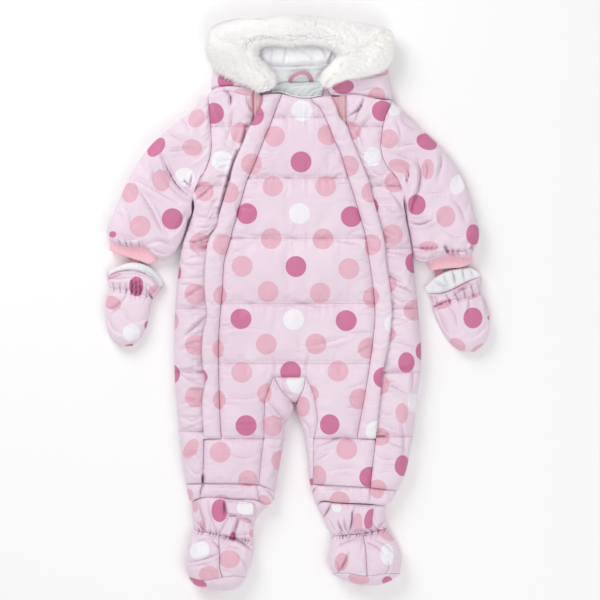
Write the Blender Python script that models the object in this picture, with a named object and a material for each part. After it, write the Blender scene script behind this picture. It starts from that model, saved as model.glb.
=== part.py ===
"""A padded baby snowsuit, laid flat on its back with its hood open, its mittens and its booties on.

Metres, +Z up. X runs across the suit, Y runs up it from the booties to the hood, and Z = 0 is what it
lies on. The numbers in tables and paths are in millimetres. Left is the side towards -X.
Each sewn piece is a closed wall of padded cloth. The back lies on the floor with its inside face up,
and the front lies on it with its inside face down, a hair apart, as in any garment laid flat.
"""

import bmesh
import bpy
import numpy as np

SUIT = "baby_snowsuit"
MM = 0.001
GAP = 0.4 * MM  # between pieces that are sewn together, so that no two solids touch
SIGN = {"left": -1, "right": 1}  # the way outwards from the middle of the suit

# Heights above the floor
BACK_INSIDE = 13 * MM
FRONT_INSIDE = BACK_INSIDE + GAP
FRONT_CROWN = 31 * MM
TUBE_MIDDLE = 13 * MM  # of a sleeve or a leg end laid flat
MITTEN_MIDDLE = 9 * MM
SLEEVE_CROWN = 32 * MM
CUFF_CROWN = 18 * MM
MITTEN_CROWN = 23 * MM
BAND_CROWN = 27 * MM
ANKLE_CROWN = 25 * MM
FOOT_CROWN = 38 * MM
HOOD_INSIDE = 11 * MM
HOOD_SIDE_CROWN = 25 * MM
FUR_CROWN = 48 * MM
LOOP_HEIGHT = 23 * MM

# Walls and what draws them in. A depth is the share of the padding that a line of stitching takes away.
EDGE_WALL = 5 * MM  # padding left at a free side edge
THIN_EDGE = 2.5 * MM  # half the height that a tube has at its side edges
SOLE_EDGE = 4 * MM
EDGE_REACH = 26 * MM  # how far in from a free edge the padding reaches its full height
TUBE_REACH = 20 * MM
RIB_REACH = 10 * MM
SEAM_REACH, SEAM_DEPTH = 12 * MM, 0.28
HEM_DEPTH = 0.40
QUILT_REACH, QUILT_DEPTH, BACK_QUILT_DEPTH = 24 * MM, 0.40, 0.25
FLAT_SHARE = 1.15  # how much sooner an underside is flat than the upper side is at full height
FLAP_WALL, FLAP_RISE, FLAP_TUCK = 5 * MM, 1.5 * MM, 6 * MM
ZIP_WALL, ZIP_WIDTH = 2.5 * MM, 22 * MM
FACING_WALL, BINDING_HEIGHT, LOOP_WALL, LOOP_WIDTH = 2 * MM, 9 * MM, 1.5 * MM, 6 * MM
STRAP_WALL, TAB_WALL = 2.5 * MM, 3.5 * MM
SLIT = 1 * MM  # what is left open inside a tube that is laid flat

MATERIALS = {
    "shell": ((0.80, 0.66, 0.76), 0.45),
    "rib": ((0.86, 0.50, 0.58), 0.80),
    "fleece": ((0.82, 0.82, 0.86), 0.95),
    "fur": ((0.90, 0.89, 0.86), 1.00),
    "tape": ((0.46, 0.24, 0.34), 0.70),
}


def table(columns, *rows):
    """A table with named columns, each an array in metres."""
    return dict(zip(columns.split(), np.array(rows, float).T * MM))


def path(*points):
    """The points of an outline in order, as a table of x and y."""
    return table("x y", *points)


# Rows of every body panel, from the neck down. The rows in QUILT_LINES are stitched through.
ROW_Y = (292, 275, 260, 239, 218, 196, 175, 163, 140, 116, 91, 68, 46, 22, 0, -21, -42, -63,
         -84, -103, -120, -138, -151, -165, -187, -190, -210, -232, -254)
QUILT_LINES = (260, 175, 91, 0, -84, -187)
ARMPIT_ROW = ROW_Y.index(163)
GUSSET_ROW = ROW_Y.index(-103)
CROTCH_ROW = ROW_Y.index(-138)
FLAP_END_ROW = ROW_Y.index(-187)
LAST_ROW = len(ROW_Y) - 1

# Outer sides of the body. Down to the armpit this is the armhole seam.
SIDES = {
    "left": path(
        (-125, 292), (-121, 241), (-120, 219), (-123, 201), (-129, 187), (-141, 173), (-150, 163),
        (-146, 147), (-144, 136), (-150, 114), (-160, 84), (-167, 38), (-172, -28), (-172, -95),
        (-166, -176), (-161, -224), (-156, -254),
    ),
    "right": path(
        (131, 283), (122, 259), (118, 240), (116, 222), (119, 203), (127, 189), (138, 177),
        (148, 163), (148, 138), (153, 114), (159, 82), (165, 26), (170, -25), (173, -64), (172, -95),
        (167, -130), (163, -176), (158, -205), (149, -242), (139, -262),
    ),
}
# The two long zip flaps: the seam that joins each to the front, and its loose outer edge. Below the
# end of the flaps the loose edge goes on as the seam down the leg.
FLAPS = table(
    "y edge_left seam_left seam_right edge_right",
    (290, -48, -22, 17, 46), (260, -59, -34, 38, 60), (219, -78, -51, 56, 80),
    (175, -94, -69, 71, 98), (133, -106, -82, 84, 109), (91, -122, -93, 95, 119),
    (47, -129, -103, 102, 125), (0, -128, -106, 108, 131), (-42, -131, -110, 106, 129),
    (-84, -131, -110, 101, 122), (-135, -132, -108, 93, 115), (-189, -131, -106, 83, 109),
    (-254, -132, -100, 80, 101),
)
ZIP_SHOWS_TO = {"left": 62 * MM, "right": 68 * MM}  # how far out the zips show above the flaps
# Crotch and inside legs: the seam of each inside-leg panel, and its edge at the gusset and the gap
CROTCH = table(
    "y seam_left gap_left gap_right seam_right",
    (-103, -34, -33, 11, 12), (-120, -40, -24, 8, 20), (-138, -46, -8, -1, 25),
    (-151, -46, -6, -1, 27), (-165, -47, -16, 4, 28), (-189, -47, -19, 10, 23),
    (-210, -50, -22, 13, 22), (-232, -52, -26, 15, 22), (-258, -55, -31, 18, 21),
)
# The upper edge of the front, along the hood seam and the neckline, and its lower edge at the hems
TOP_EDGE = path(
    (-126, 290), (-118, 298), (-104, 302), (-80, 302), (-60, 297), (-48, 291), (-38, 292),
    (-22, 292), (-10, 289), (4, 286), (20, 286), (31, 288), (46, 289), (66, 291), (84, 291),
    (102, 287), (118, 284), (133, 283),
)
HEM_EDGE = path(
    (-156, -252), (-131, -251), (-67, -252), (-55, -253), (-31, -261), (17, -253), (54, -254),
    (100, -257), (139, -261),
)

# A sleeve goes from the armhole to a first section at the elbow, and from there to the hem.
SLEEVES = {
    "left": {
        "elbow": path((-178, 246), (-168, 185), (-152, 118)),
        "outer": path((-178, 246), (-206, 220), (-234, 178), (-252, 137), (-266, 97), (-262, 84)),
        "inner": path((-152, 118), (-162, 87), (-174, 68), (-186, 60)),
        "hem": path((-262, 84), (-241, 79), (-211, 77), (-200, 66), (-186, 60)),
    },
    "right": {
        "elbow": path((178, 240), (169, 182), (154, 118)),
        "outer": path((178, 240), (206, 213), (230, 173), (244, 137), (253, 89), (246, 72)),
        "inner": path((154, 118), (160, 92), (165, 75), (166, 61)),
        "hem": path((246, 72), (240, 66), (206, 65), (190, 61), (178, 57), (166, 61)),
    },
}
# Where the columns of a sleeve start on the elbow's section, one for each row of the armhole. The last
# few fan out from the armpit, from these shares of the armhole's last stretch.
ELBOW_SHARES = (0, 0.10, 0.20, 0.31, 0.42, 0.53, 0.66, 0.80, 0.92, 1)
ARMPIT_FAN = (0.96, 0.99)
CUFFS = {
    "left": {
        "top": path((-260, 82), (-241, 77), (-213, 75), (-202, 64)),
        "bottom": path((-263, 74), (-241, 66), (-220, 59), (-206, 55), (-196, 60)),
    },
    "right": {
        "top": path((180, 55), (192, 59), (206, 63), (239, 64), (244, 69)),
        "bottom": path((187, 45), (195, 47), (214, 49), (232, 51), (246, 58)),
    },
}

# A mitten: its rows from the mouth to the tip, and the two rims of the mouth. The front rim is lower.
MITTENS = {
    "left": table(
        "left_x left_y right_x right_y",
        (-267, 38, -191, 19), (-264, 20, -202, 6), (-268, 0, -204, -1), (-269, -20, -207, -18),
        (-265, -40, -213, -38), (-258, -53, -222, -52), (-249, -60, -232, -60),
    ),
    "right": table(
        "left_x left_y right_x right_y",
        (179, 15, 258, 31), (187, 8, 257, 15), (189, -10, 265, -6), (194, -24, 269, -26),
        (204, -43, 268, -42), (215, -58, 262, -56), (227, -67, 247, -68),
    ),
}
MITTEN_RIMS = {
    "left": {
        "back": path((-264, 45), (-250, 52), (-234, 57), (-215, 55), (-196, 42), (-186, 29)),
        "front": path((-265, 38), (-248, 44), (-231, 45), (-217, 42), (-206, 37), (-190, 21)),
    },
    "right": {
        "back": path((178, 23), (191, 35), (209, 45), (228, 49), (244, 49), (257, 40)),
        "front": path((180, 14), (199, 13), (213, 17), (227, 24), (241, 31), (256, 37)),
    },
}
MITTEN_TAPES = {
    "left": {"top": path((-234, 63), (-223, 59)), "bottom": path((-234, 58.2), (-223, 57.2))},
    "right": {"top": path((192, 45), (203, 47)), "bottom": path((192, 37), (203, 43))},
}

BANDS = {  # the turned leg hems
    "left": {
        "top": path((-156, -253), (-131, -252), (-67, -253), (-55, -254), (-31, -262)),
        "bottom": path((-151, -276), (-132, -271), (-86, -273), (-58, -274), (-39, -281), (-32, -274)),
    },
    "right": {
        "top": path((18, -254), (54, -255), (100, -258), (139, -262)),
        "bottom": path((25, -281), (30, -277), (54, -278), (100, -280), (123, -281), (132, -277)),
    },
}
# The ankle of a bootie, which starts along its band's lower edge, then the uppers, then the sole
ANKLES = {
    "left": {
        "top": path((-147, -276), (-132, -272), (-86, -274), (-58, -275), (-41, -283)),
        "bottom": path((-144, -317), (-120, -321), (-106, -324), (-86, -328), (-62, -333)),
        "left": path((-147, -276), (-147, -297), (-144, -317)),
        "right": path((-41, -283), (-53, -294), (-60, -308), (-62, -333)),
    },
    "right": {
        "top": path((27, -283), (33, -279), (54, -280), (100, -282), (124, -283)),
        "bottom": path((50, -325), (72, -323), (91, -321), (112, -317), (127, -314)),
        "left": path((27, -283), (35, -298), (43, -317), (50, -325)),
        "right": path((124, -283), (122, -296), (127, -314)),
    },
}
FEET = {
    "left": {
        "top": path((-144, -318), (-120, -322), (-109, -324), (-86, -329), (-62, -334)),
        "left": path((-144, -318), (-150, -329), (-154, -351), (-156, -370), (-152, -382)),
        "right": path((-62, -334), (-61, -349), (-65, -365), (-72, -382)),
        "sole_seam": path((-152, -382), (-134, -386), (-105, -382), (-88, -380), (-72, -382)),
        "sole_edge": path((-152, -384), (-143, -394), (-125, -398), (-93, -401), (-81, -396),
                          (-72, -383)),
    },
    "right": {
        "top": path((50, -326), (72, -324), (91, -322), (112, -318), (127, -315)),
        "left": path((50, -326), (45, -345), (43, -365), (49, -377)),
        "right": path((127, -315), (142, -340), (146, -363), (143, -377)),
        "sole_seam": path((49, -377), (68, -376), (97, -380), (121, -377), (143, -377)),
        "sole_edge": path((49, -379), (68, -389), (89, -394), (112, -394), (130, -388), (143, -379)),
    },
}
# What lies on the ankles: a tab across the left one, and a strap down each to the elastic
ANKLE_TABS = {
    "bootie_tab_left": (TAB_WALL, path((-101, -277), (-80, -277), (-60, -279)),
                        path((-98, -293), (-80, -296), (-58, -297))),
    "bootie_strap_left": (STRAP_WALL, path((-96, -298), (-84, -298)), path((-109, -322), (-94, -325))),
    "bootie_strap_right": (STRAP_WALL, path((78, -283), (106, -285)), path((76, -316), (104, -314))),
}

# The fur trim round the face: a row for each section, from the left tip over the top to the right tip
FUR = table(
    "left_x left_y right_x right_y",
    (-50, 291, -41, 296), (-69, 303, -31, 303), (-97, 317, -31, 313), (-118, 334, -47, 329),
    (-126, 357, -57, 343), (-118, 383, -58, 355), (-92, 395, -54, 359), (-50, 400, -32, 364),
    (3, 401, -4, 364), (52, 395, 32, 365), (104, 386, 51, 357), (132, 374, 59, 346),
    (135, 352, 51, 335), (124, 329, 40, 321), (88, 318, 36, 310), (57, 310, 36, 303),
    (46, 301, 40, 296),
)
FUR_FULL_WIDTH, FUR_TIP_SHARE = 44 * MM, 0.35  # narrower sections of the fur are lower
# Side walls of the hood, under the fur: a row for each section from the outside of the hood inwards,
# above the row that runs along the hood seam between these two ends
HOOD_SEAM_ENDS = {"left": (-121 * MM, -48 * MM), "right": (132 * MM, 47 * MM)}
HOOD_SIDES = {
    "left": table(
        "left_x left_y right_x right_y",
        (-120, 313, -39, 308), (-118, 334, -44, 323), (-120, 357, -59, 343), (-111, 377, -60, 356),
        (-80, 388, -47, 363), (-41, 392, -24, 367), (-1, 392, -1, 367),
    ),
    "right": table(
        "left_x left_y right_x right_y",
        (131, 301, 41, 304), (127, 327, 40, 318), (130, 349, 52, 332), (130, 366, 61, 346),
        (108, 380, 51, 360), (52, 389, 29, 367), (0, 392, 0, 367),
    ),
}
HOOD_BACK = table(
    "left_x left_y right_x right_y",
    (-31, 392, 31, 392), (-87, 387, 74, 387), (-110, 378, 110, 378), (-119, 361, 131, 361),
    (-118, 340, 128, 340), (-119, 319, 127, 319), (-121, 296, 131, 296), (-122, 284, 130, 284),
)
BACK_TOP_Y = 284 * MM - 2 * GAP
LINING = table(
    "left_x left_y right_x right_y puff",
    (-21, 365, 21, 365, 6), (-46, 359, 46, 359, 8), (-55, 352, 53, 352, 9), (-56, 343, 56, 343, 7),
    (-48, 331, 48, 331, 5), (-41, 320, 38, 320, 4), (-37, 312, 38, 312, 3),
)
LINING_GATHERS = (1.1, 0.8, 1, 0.85, 1.05, 0.8, 1.1)  # across each row, as shares of its puff
FACING = {
    "top": path((-36, 310), (0, 310), (37, 310)),
    "bottom": path((-36, 296), (-22, 295), (-10, 292), (4, 289), (20, 289), (34, 291)),
}
BINDING = {
    "top": path((-36, 295), (-22, 295), (-10, 291), (4, 288), (20, 288), (34, 290)),
    "bottom": path((-36, 293), (-22, 293.6), (-10, 289.6), (4, 286.6), (20, 286.6), (34, 289.4)),
}
HANGER_LOOP = path((-11, 309), (-8, 315), (-1, 320), (7, 322), (14, 320), (18, 315), (19, 310))


# ---- curves and profiles ----------------------------------------------------------------------


def smooth(known, values, at):
    """Values read at `at` from a smooth curve through (known, values), which may run either way."""
    known, values, at = (np.asarray(a, float) for a in (known, values, at))
    if known[0] > known[-1]:
        known, values = known[::-1], values[::-1]
    slope = np.gradient(values, known)
    at = np.clip(at, known[0], known[-1])
    i = np.clip(np.searchsorted(known, at) - 1, 0, len(known) - 2)
    span = known[i + 1] - known[i]
    t = (at - known[i]) / span
    rise = values[i + 1] - values[i]
    leaving = slope[i] * span - rise
    arriving = rise - slope[i + 1] * span
    return values[i] + rise * t + t * (1 - t) * ((1 - t) * leaving + t * arriving)


def along(line, shares):
    """Points at these shares of the length of a smooth curve through a path."""
    run = np.hypot(np.diff(line["x"]), np.diff(line["y"])).cumsum()
    run = np.concatenate([[0], run])
    at = np.asarray(shares) * run[-1]
    return np.stack([smooth(run, line["x"], at), smooth(run, line["y"], at)], axis=-1)


def rounded(distance, reach):
    """0 on an edge and 1 from `reach` inwards, along a quarter of an ellipse."""
    t = np.clip(distance / reach, 0, 1)
    return np.sqrt(t * (2 - t))


def flattened(distance, reach):
    """The same for an underside, which is flat a little sooner."""
    return np.minimum(1, FLAT_SHARE * rounded(distance, reach))


def to_outline(x, y, outline):
    """Distance from each point to an outline of straight stretches."""
    best = np.full(x.shape, 1.0)
    for (ax, ay), (bx, by) in zip(outline, outline[1:]):
        dx, dy = bx - ax, by - ay
        t = np.clip(((x - ax) * dx + (y - ay) * dy) / (dx * dx + dy * dy), 0, 1)
        best = np.minimum(best, np.hypot(x - ax - t * dx, y - ay - t * dy))
    return best


def quilted(y):
    """0 on a quilting line and 1 in the middle of the puff between two lines."""
    lines = np.array(QUILT_LINES) * MM
    return rounded(np.abs(y[..., None] - lines).min(axis=-1), QUILT_REACH)


def side(which, y):
    return smooth(SIDES[which]["y"], SIDES[which]["x"], y)


def flap(column, y):
    return smooth(FLAPS["y"], FLAPS[column], y)


def crotch(column, y):
    return smooth(CROTCH["y"], CROTCH[column], y)


def top_edge(x):
    return smooth(TOP_EDGE["x"], TOP_EDGE["y"], x)


def hem_edge(x):
    return smooth(HEM_EDGE["x"], HEM_EDGE["y"], x)


def row_y(row):
    return ROW_Y[row] * MM


def free_edge(x, y):
    """How far a point of the body is from the nearest edge that isn't sewn to a sleeve."""
    armhole_starts, armhole_full = 120 * MM, 165 * MM
    sewn = np.clip((y - armhole_starts) / (armhole_full - armhole_starts), 0, 1) * EDGE_REACH
    sides = np.minimum(x - side("left", y), side("right", y) - x) + sewn
    low = CROTCH["y"] <= row_y(CROTCH_ROW)
    gap = [*zip(CROTCH["gap_left"][low][::-1], CROTCH["y"][low][::-1]),
           *zip(CROTCH["gap_right"][low], CROTCH["y"][low])]
    return np.minimum(sides, to_outline(x, y, gap))


def front_top(x, y):
    """Height of the upper face of the front, before its panels are drawn in at their seams."""
    fullest = FRONT_CROWN - FRONT_INSIDE
    padding = EDGE_WALL + (fullest - EDGE_WALL) * rounded(free_edge(x, y), EDGE_REACH)
    padding = padding * (1 - QUILT_DEPTH * (1 - quilted(y)))
    edge_line = 2 * MM  # beyond both end edges, so that the padding there isn't drawn in to nothing
    ends = rounded(top_edge(x) + edge_line - y, SEAM_REACH) * rounded(y - hem_edge(x) + edge_line, SEAM_REACH)
    return FRONT_INSIDE + padding * (1 - HEM_DEPTH * (1 - ends))


# ---- solids -----------------------------------------------------------------------------------


def finish(name, bm, material):
    """Turns a bmesh into the named node, with its faces pointing outwards."""
    bmesh.ops.remove_doubles(bm, verts=bm.verts, dist=1e-6)
    bmesh.ops.recalc_face_normals(bm, faces=bm.faces)
    mesh = bpy.data.meshes.new(name)
    bm.to_mesh(mesh)
    bm.free()
    mesh.shade_smooth()
    mesh.set_sharp_from_angle(angle=np.radians(50))
    mesh.materials.append(MATERIAL_OF[material])
    parts.objects.link(bpy.data.objects.new(name, mesh))


def border(cells):
    """The edges of the grid cells that only one cell has, as pairs of (row, column)."""
    seen = {}
    for j, i in np.argwhere(cells):
        ring = [(j, i), (j, i + 1), (j + 1, i + 1), (j + 1, i)]
        for a, b in zip(ring, ring[1:] + ring[:1]):
            seen.setdefault(frozenset((a, b)), []).append((a, b))
    return [edges[0] for edges in seen.values() if len(edges) == 1]


def layer(bm, x, y, height, cells):
    """A face over the grid cells at these heights, as its vertices by (row, column).

    Where height is one number, only the vertices of its border are made, for a single flat face.
    """
    if np.isscalar(height):
        return {c: bm.verts.new((x[c], y[c], height)) for edge in border(cells) for c in edge}
    verts = {}
    for j, i in np.argwhere(cells):
        ring = [(j, i), (j, i + 1), (j + 1, i + 1), (j + 1, i)]
        for c in ring:
            if c not in verts:
                verts[c] = bm.verts.new((x[c], y[c], height[c]))
        bm.faces.new([verts[c] for c in ring])
    return verts


def wall(name, x, y, top, low, material, cells=None):
    """A padded wall over a grid of plan points: a row of points for each section of the piece.

    top and low are the heights of its two faces. One number for either makes that face a single flat
    one. cells leaves out grid cells, as where two legs part.
    """
    bm = bmesh.new()
    cells = np.ones((x.shape[0] - 1, x.shape[1] - 1), bool) if cells is None else cells
    upper, lower = layer(bm, x, y, top, cells), layer(bm, x, y, low, cells)
    for a, b in border(cells):
        bm.faces.new([upper[a], upper[b], lower[b], lower[a]])
    bmesh.ops.holes_fill(bm, edges=[e for e in bm.edges if e.is_boundary], sides=0)
    finish(name, bm, material)


def tube(name, x, y, top, low, material, mouths=("first", "last")):
    """A tube or a pocket laid flat over a grid of plan points, with a slit through the middle of it.

    The slit comes out at the mouths: the first or last row, or the left or right column.
    """
    bm = bmesh.new()
    last_row, last_column = x.shape[0] - 1, x.shape[1] - 1
    cells = np.ones((last_row, last_column), bool)
    slit = np.zeros(cells.shape, bool)
    rows = slice(0 if "first" in mouths else 1, last_row if "last" in mouths else last_row - 1)
    columns = slice(0 if "left" in mouths else 1, last_column if "right" in mouths else last_column - 1)
    slit[rows, columns] = True
    upper, lower = layer(bm, x, y, top, cells), layer(bm, x, y, low, cells)
    middle = np.full(x.shape, TUBE_MIDDLE)
    roof, floor = layer(bm, x, y, middle + SLIT / 2, slit), layer(bm, x, y, middle - SLIT / 2, slit)
    places = {"first": (0, 0), "last": (0, last_row), "left": (1, 0), "right": (1, last_column)}

    def at_mouth(a, b):
        return any(a[axis] == b[axis] == end for axis, end in (places[m] for m in mouths))

    for a, b in border(cells):
        if at_mouth(a, b) and a in roof and b in roof:
            bm.faces.new([upper[a], upper[b], roof[b], roof[a]])
            bm.faces.new([floor[a], floor[b], lower[b], lower[a]])
        elif at_mouth(a, b) and b in roof:
            bm.faces.new([upper[a], upper[b], roof[b], floor[b], lower[b], lower[a]])
        elif at_mouth(a, b) and a in roof:
            bm.faces.new([upper[a], upper[b], lower[b], lower[a], floor[a], roof[a]])
        else:
            bm.faces.new([upper[a], upper[b], lower[b], lower[a]])
    for a, b in border(slit):
        if not at_mouth(a, b):
            bm.faces.new([roof[a], roof[b], floor[b], floor[a]])
    finish(name, bm, material)


def lofted(first, last, steps):
    """Plan points of straight columns between two rows of points, at these steps from the first."""
    v = np.array(steps)[:, None, None]
    grid = first * (1 - v) + last * v
    return grid[..., 0], grid[..., 1]


def ruled(outline, shares, rows=3):
    """Plan points between the top and bottom paths of a piece, with columns at these shares."""
    first, last = along(outline["top"], shares), along(outline["bottom"], shares)
    return lofted(first, last, np.linspace(0, 1, rows))


def patch(first, last, left, right, steps):
    """Plan points between four curves: first and last are rows of points, left and right are paths."""
    left, right = along(left, steps), along(right, steps)
    left[0], left[-1], right[0], right[-1] = first[0], last[0], first[-1], last[-1]
    u = np.concatenate([[0], np.linalg.norm(np.diff(first, axis=0), axis=1).cumsum()])
    u = (u / u[-1])[None, :, None]
    v = np.asarray(steps)[:, None, None]
    corners = ((1 - u) * (1 - v) * first[0] + u * (1 - v) * first[-1]
               + (1 - u) * v * last[0] + u * v * last[-1])
    grid = (1 - v) * first + v * last + (1 - u) * left[:, None] + u * right[:, None] - corners
    return grid[..., 0], grid[..., 1]


def between(rows, shares):
    """Plan points of rows given by their two ends."""
    u = np.asarray(shares)[None, :]
    x = rows["left_x"][:, None] * (1 - u) + rows["right_x"][:, None] * u
    y = rows["left_y"][:, None] * (1 - u) + rows["right_y"][:, None] * u
    return x, y


def body_rows(first, last, left, right, shares):
    """Plan points of a body panel between two edges, over its rows. The end rows follow the outline."""
    y = np.array(ROW_Y[first:last + 1], float) * MM
    u = np.asarray(shares)[None, :]
    x = left(y)[:, None] * (1 - u) + right(y)[:, None] * u
    y = np.repeat(y[:, None], len(shares), axis=1)
    if first == 0:
        y[0] = top_edge(x[0])
    if last == LAST_ROW:
        y[-1] = hem_edge(x[-1])
    return x, y


def drawn_in(x, top):
    """Draws a front panel's upper face down at its two side seams."""
    inwards = np.minimum(x - x.min(axis=1, keepdims=True), x.max(axis=1, keepdims=True) - x)
    drawn = 1 - SEAM_DEPTH * (1 - rounded(inwards, SEAM_REACH))
    return FRONT_INSIDE + (top - FRONT_INSIDE) * drawn


def pillow(x, y, crown, edge, reach=TUBE_REACH, sewn=("first", "last")):
    """Upper and lower heights of a tube laid flat: round at its sides and flat underneath.

    edge is half its height at the sides. sewn names the end rows where a seam draws it in.
    """
    across = np.hypot(np.diff(x, axis=1), np.diff(y, axis=1)).cumsum(axis=1)
    across = np.hstack([np.zeros((len(x), 1)), across])
    inwards = np.minimum(across, across[:, -1:] - across)
    down = np.hypot(np.diff(x, axis=0), np.diff(y, axis=0)).cumsum(axis=0)
    down = np.vstack([np.zeros((1, x.shape[1])), down])
    ends = np.ones(x.shape)
    if "first" in sewn:
        ends = np.minimum(ends, 1 - SEAM_DEPTH * (1 - rounded(down, SEAM_REACH)))
    if "last" in sewn:
        ends = np.minimum(ends, 1 - SEAM_DEPTH * (1 - rounded(down[-1:] - down, SEAM_REACH)))
    lowest = TUBE_MIDDLE - edge
    top = TUBE_MIDDLE + edge + (crown - TUBE_MIDDLE - edge) * rounded(inwards, reach) * ends
    return top, lowest * (1 - flattened(inwards, reach))


# ---- the pieces -------------------------------------------------------------------------------


def make_front():
    """The middle of the front, from the neckline down both legs, in one piece round the crotch."""
    split = {"left": 0.36, "right": 0.58}  # where the two legs' columns meet on the trunk
    leg_shares = (0, 0.12, 0.3, 0.5, 0.7, 0.88, 1)

    def seam(which, y):
        leg_seam = flap("edge_" + which, y) - SIGN[which] * GAP
        return np.where(y < row_y(FLAP_END_ROW), leg_seam, flap("seam_" + which, y))

    def inner(which, y):
        trunk = seam("left", y) + split[which] * (seam("right", y) - seam("left", y))
        return np.where(y > row_y(GUSSET_ROW), trunk, crotch("seam_" + which, y))

    left = body_rows(0, LAST_ROW, lambda y: seam("left", y), lambda y: inner("left", y), leg_shares)
    right = body_rows(0, LAST_ROW, lambda y: inner("right", y), lambda y: seam("right", y), leg_shares)
    x, y = np.hstack([left[0], right[0]]), np.hstack([left[1], right[1]])
    cells = np.ones((LAST_ROW, x.shape[1] - 1), bool)
    cells[GUSSET_ROW:, len(leg_shares) - 1] = False
    wall("front_centre", x, y, drawn_in(x, front_top(x, y)), FRONT_INSIDE, "shell", cells)


def under_flap(which, y):
    """Where a side panel ends, under the flap."""
    tucked = SIGN[which] * flap("edge_" + which, y) - FLAP_TUCK
    return SIGN[which] * np.maximum(tucked, ZIP_SHOWS_TO[which])


def make_side(which):
    """A side panel of the front, from the shoulder to the leg hem. Its inner edge is under the flap."""
    shares = (0, 0.08, 0.24, 0.5, 0.8, 1)
    fold = 4 * MM  # at least so much of the panel lies between its last two columns

    def inner(y):
        leg_seam = flap("edge_" + which, y) + SIGN[which] * GAP
        return np.where(y < row_y(FLAP_END_ROW), leg_seam, under_flap(which, y))

    def flap_line(y):
        outwards = np.maximum(SIGN[which] * flap("edge_" + which, y), SIGN[which] * inner(y) + fold)
        return SIGN[which] * outwards

    x, y = body_rows(0, LAST_ROW, lambda y: side(which, y), flap_line, shares)
    x, y = np.hstack([x, inner(y[:, -1:])]), np.hstack([y, y[:, -1:]])
    y[0], y[-1] = top_edge(x[0]), hem_edge(x[-1])
    top = drawn_in(x, front_top(x, y))
    tucked = front_top(x, y) + FLAP_RISE - FLAP_WALL - 2 * GAP
    under = np.s_[:FLAP_END_ROW + 1, -2:]
    top[under] = np.minimum(top, tucked)[under]
    wall("side_front_" + which, x, y, top, FRONT_INSIDE, "shell")


def make_flap(which):
    """A long zip flap: sewn on along the front's seam, and lying over the zip and the side panel."""
    edges = [lambda y: flap("edge_" + which, y), lambda y: flap("seam_" + which, y) + SIGN[which] * GAP]
    x, y = body_rows(0, FLAP_END_ROW, *edges[::-SIGN[which]], (0, 0.5, 1))
    y[-1] += 2 * GAP
    top = front_top(x, y) + FLAP_RISE
    wall("flap_" + which, x, y, top, top - FLAP_WALL, "shell")


def make_zip(which):
    """A zip tape under its flap. It shows only where the flap starts, below the neck."""
    below_neck = 2 * MM

    def outer(y):
        return under_flap(which, y) - SIGN[which] * GAP

    def inner(y):
        room = SIGN[which] * (under_flap(which, y) - flap("seam_" + which, y)) - 2 * MM
        return under_flap(which, y) - SIGN[which] * np.minimum(ZIP_WIDTH, room)

    x, y = body_rows(0, FLAP_END_ROW - 1, *(outer, inner)[::-SIGN[which]], (0, 1))
    y[0] -= below_neck
    top = front_top(x, y) + FLAP_RISE - FLAP_WALL - 4 * GAP
    wall("zip_" + which, x, y, top, top - ZIP_WALL, "tape")


def make_crotch():
    """The gusset and the inside-leg panels round the gap between the legs."""

    def column(name, shift=0.0):
        return lambda y: crotch(name, y) + shift

    for name, last, left, right in (
        ("crotch_gusset", CROTCH_ROW, column("gap_left", GAP), column("gap_right", -GAP)),
        ("inner_leg_left", LAST_ROW, column("seam_left", GAP), column("gap_left")),
        ("inner_leg_right", LAST_ROW, column("gap_right"), column("seam_right", -GAP)),
    ):
        x, y = body_rows(GUSSET_ROW, last, left, right, (0, 0.5, 1))
        y[0] -= GAP
        wall(name, x, y, drawn_in(x, front_top(x, y)), FRONT_INSIDE, "shell")


def make_back():
    """The back: flat where it lies on the floor, and rounded up towards its free sides."""
    leg_shares = np.array((0, 0.05, 0.15, 0.35, 0.58, 0.81, 1))

    def gap(which, y):
        middle = crotch("gap_" + which, row_y(CROTCH_ROW))
        return np.where(y > row_y(CROTCH_ROW), middle, crotch("gap_" + which, y))

    left = body_rows(0, LAST_ROW, lambda y: side("left", y), lambda y: gap("left", y), leg_shares)
    right = body_rows(0, LAST_ROW, lambda y: gap("right", y), lambda y: side("right", y),
                      1 - leg_shares[::-1])
    x, y = np.hstack([left[0], right[0]]), np.hstack([left[1], right[1]])
    y[0] = BACK_TOP_Y
    padding = EDGE_WALL + (BACK_INSIDE - EDGE_WALL) * flattened(free_edge(x, y), EDGE_REACH)
    padding = padding * (1 - BACK_QUILT_DEPTH * (1 - np.minimum(1, FLAT_SHARE * quilted(y))))
    cells = np.ones((LAST_ROW, x.shape[1] - 1), bool)
    cells[CROTCH_ROW:, len(leg_shares) - 1] = False
    wall("back", x, y, BACK_INSIDE, BACK_INSIDE - padding, "shell", cells)


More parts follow.
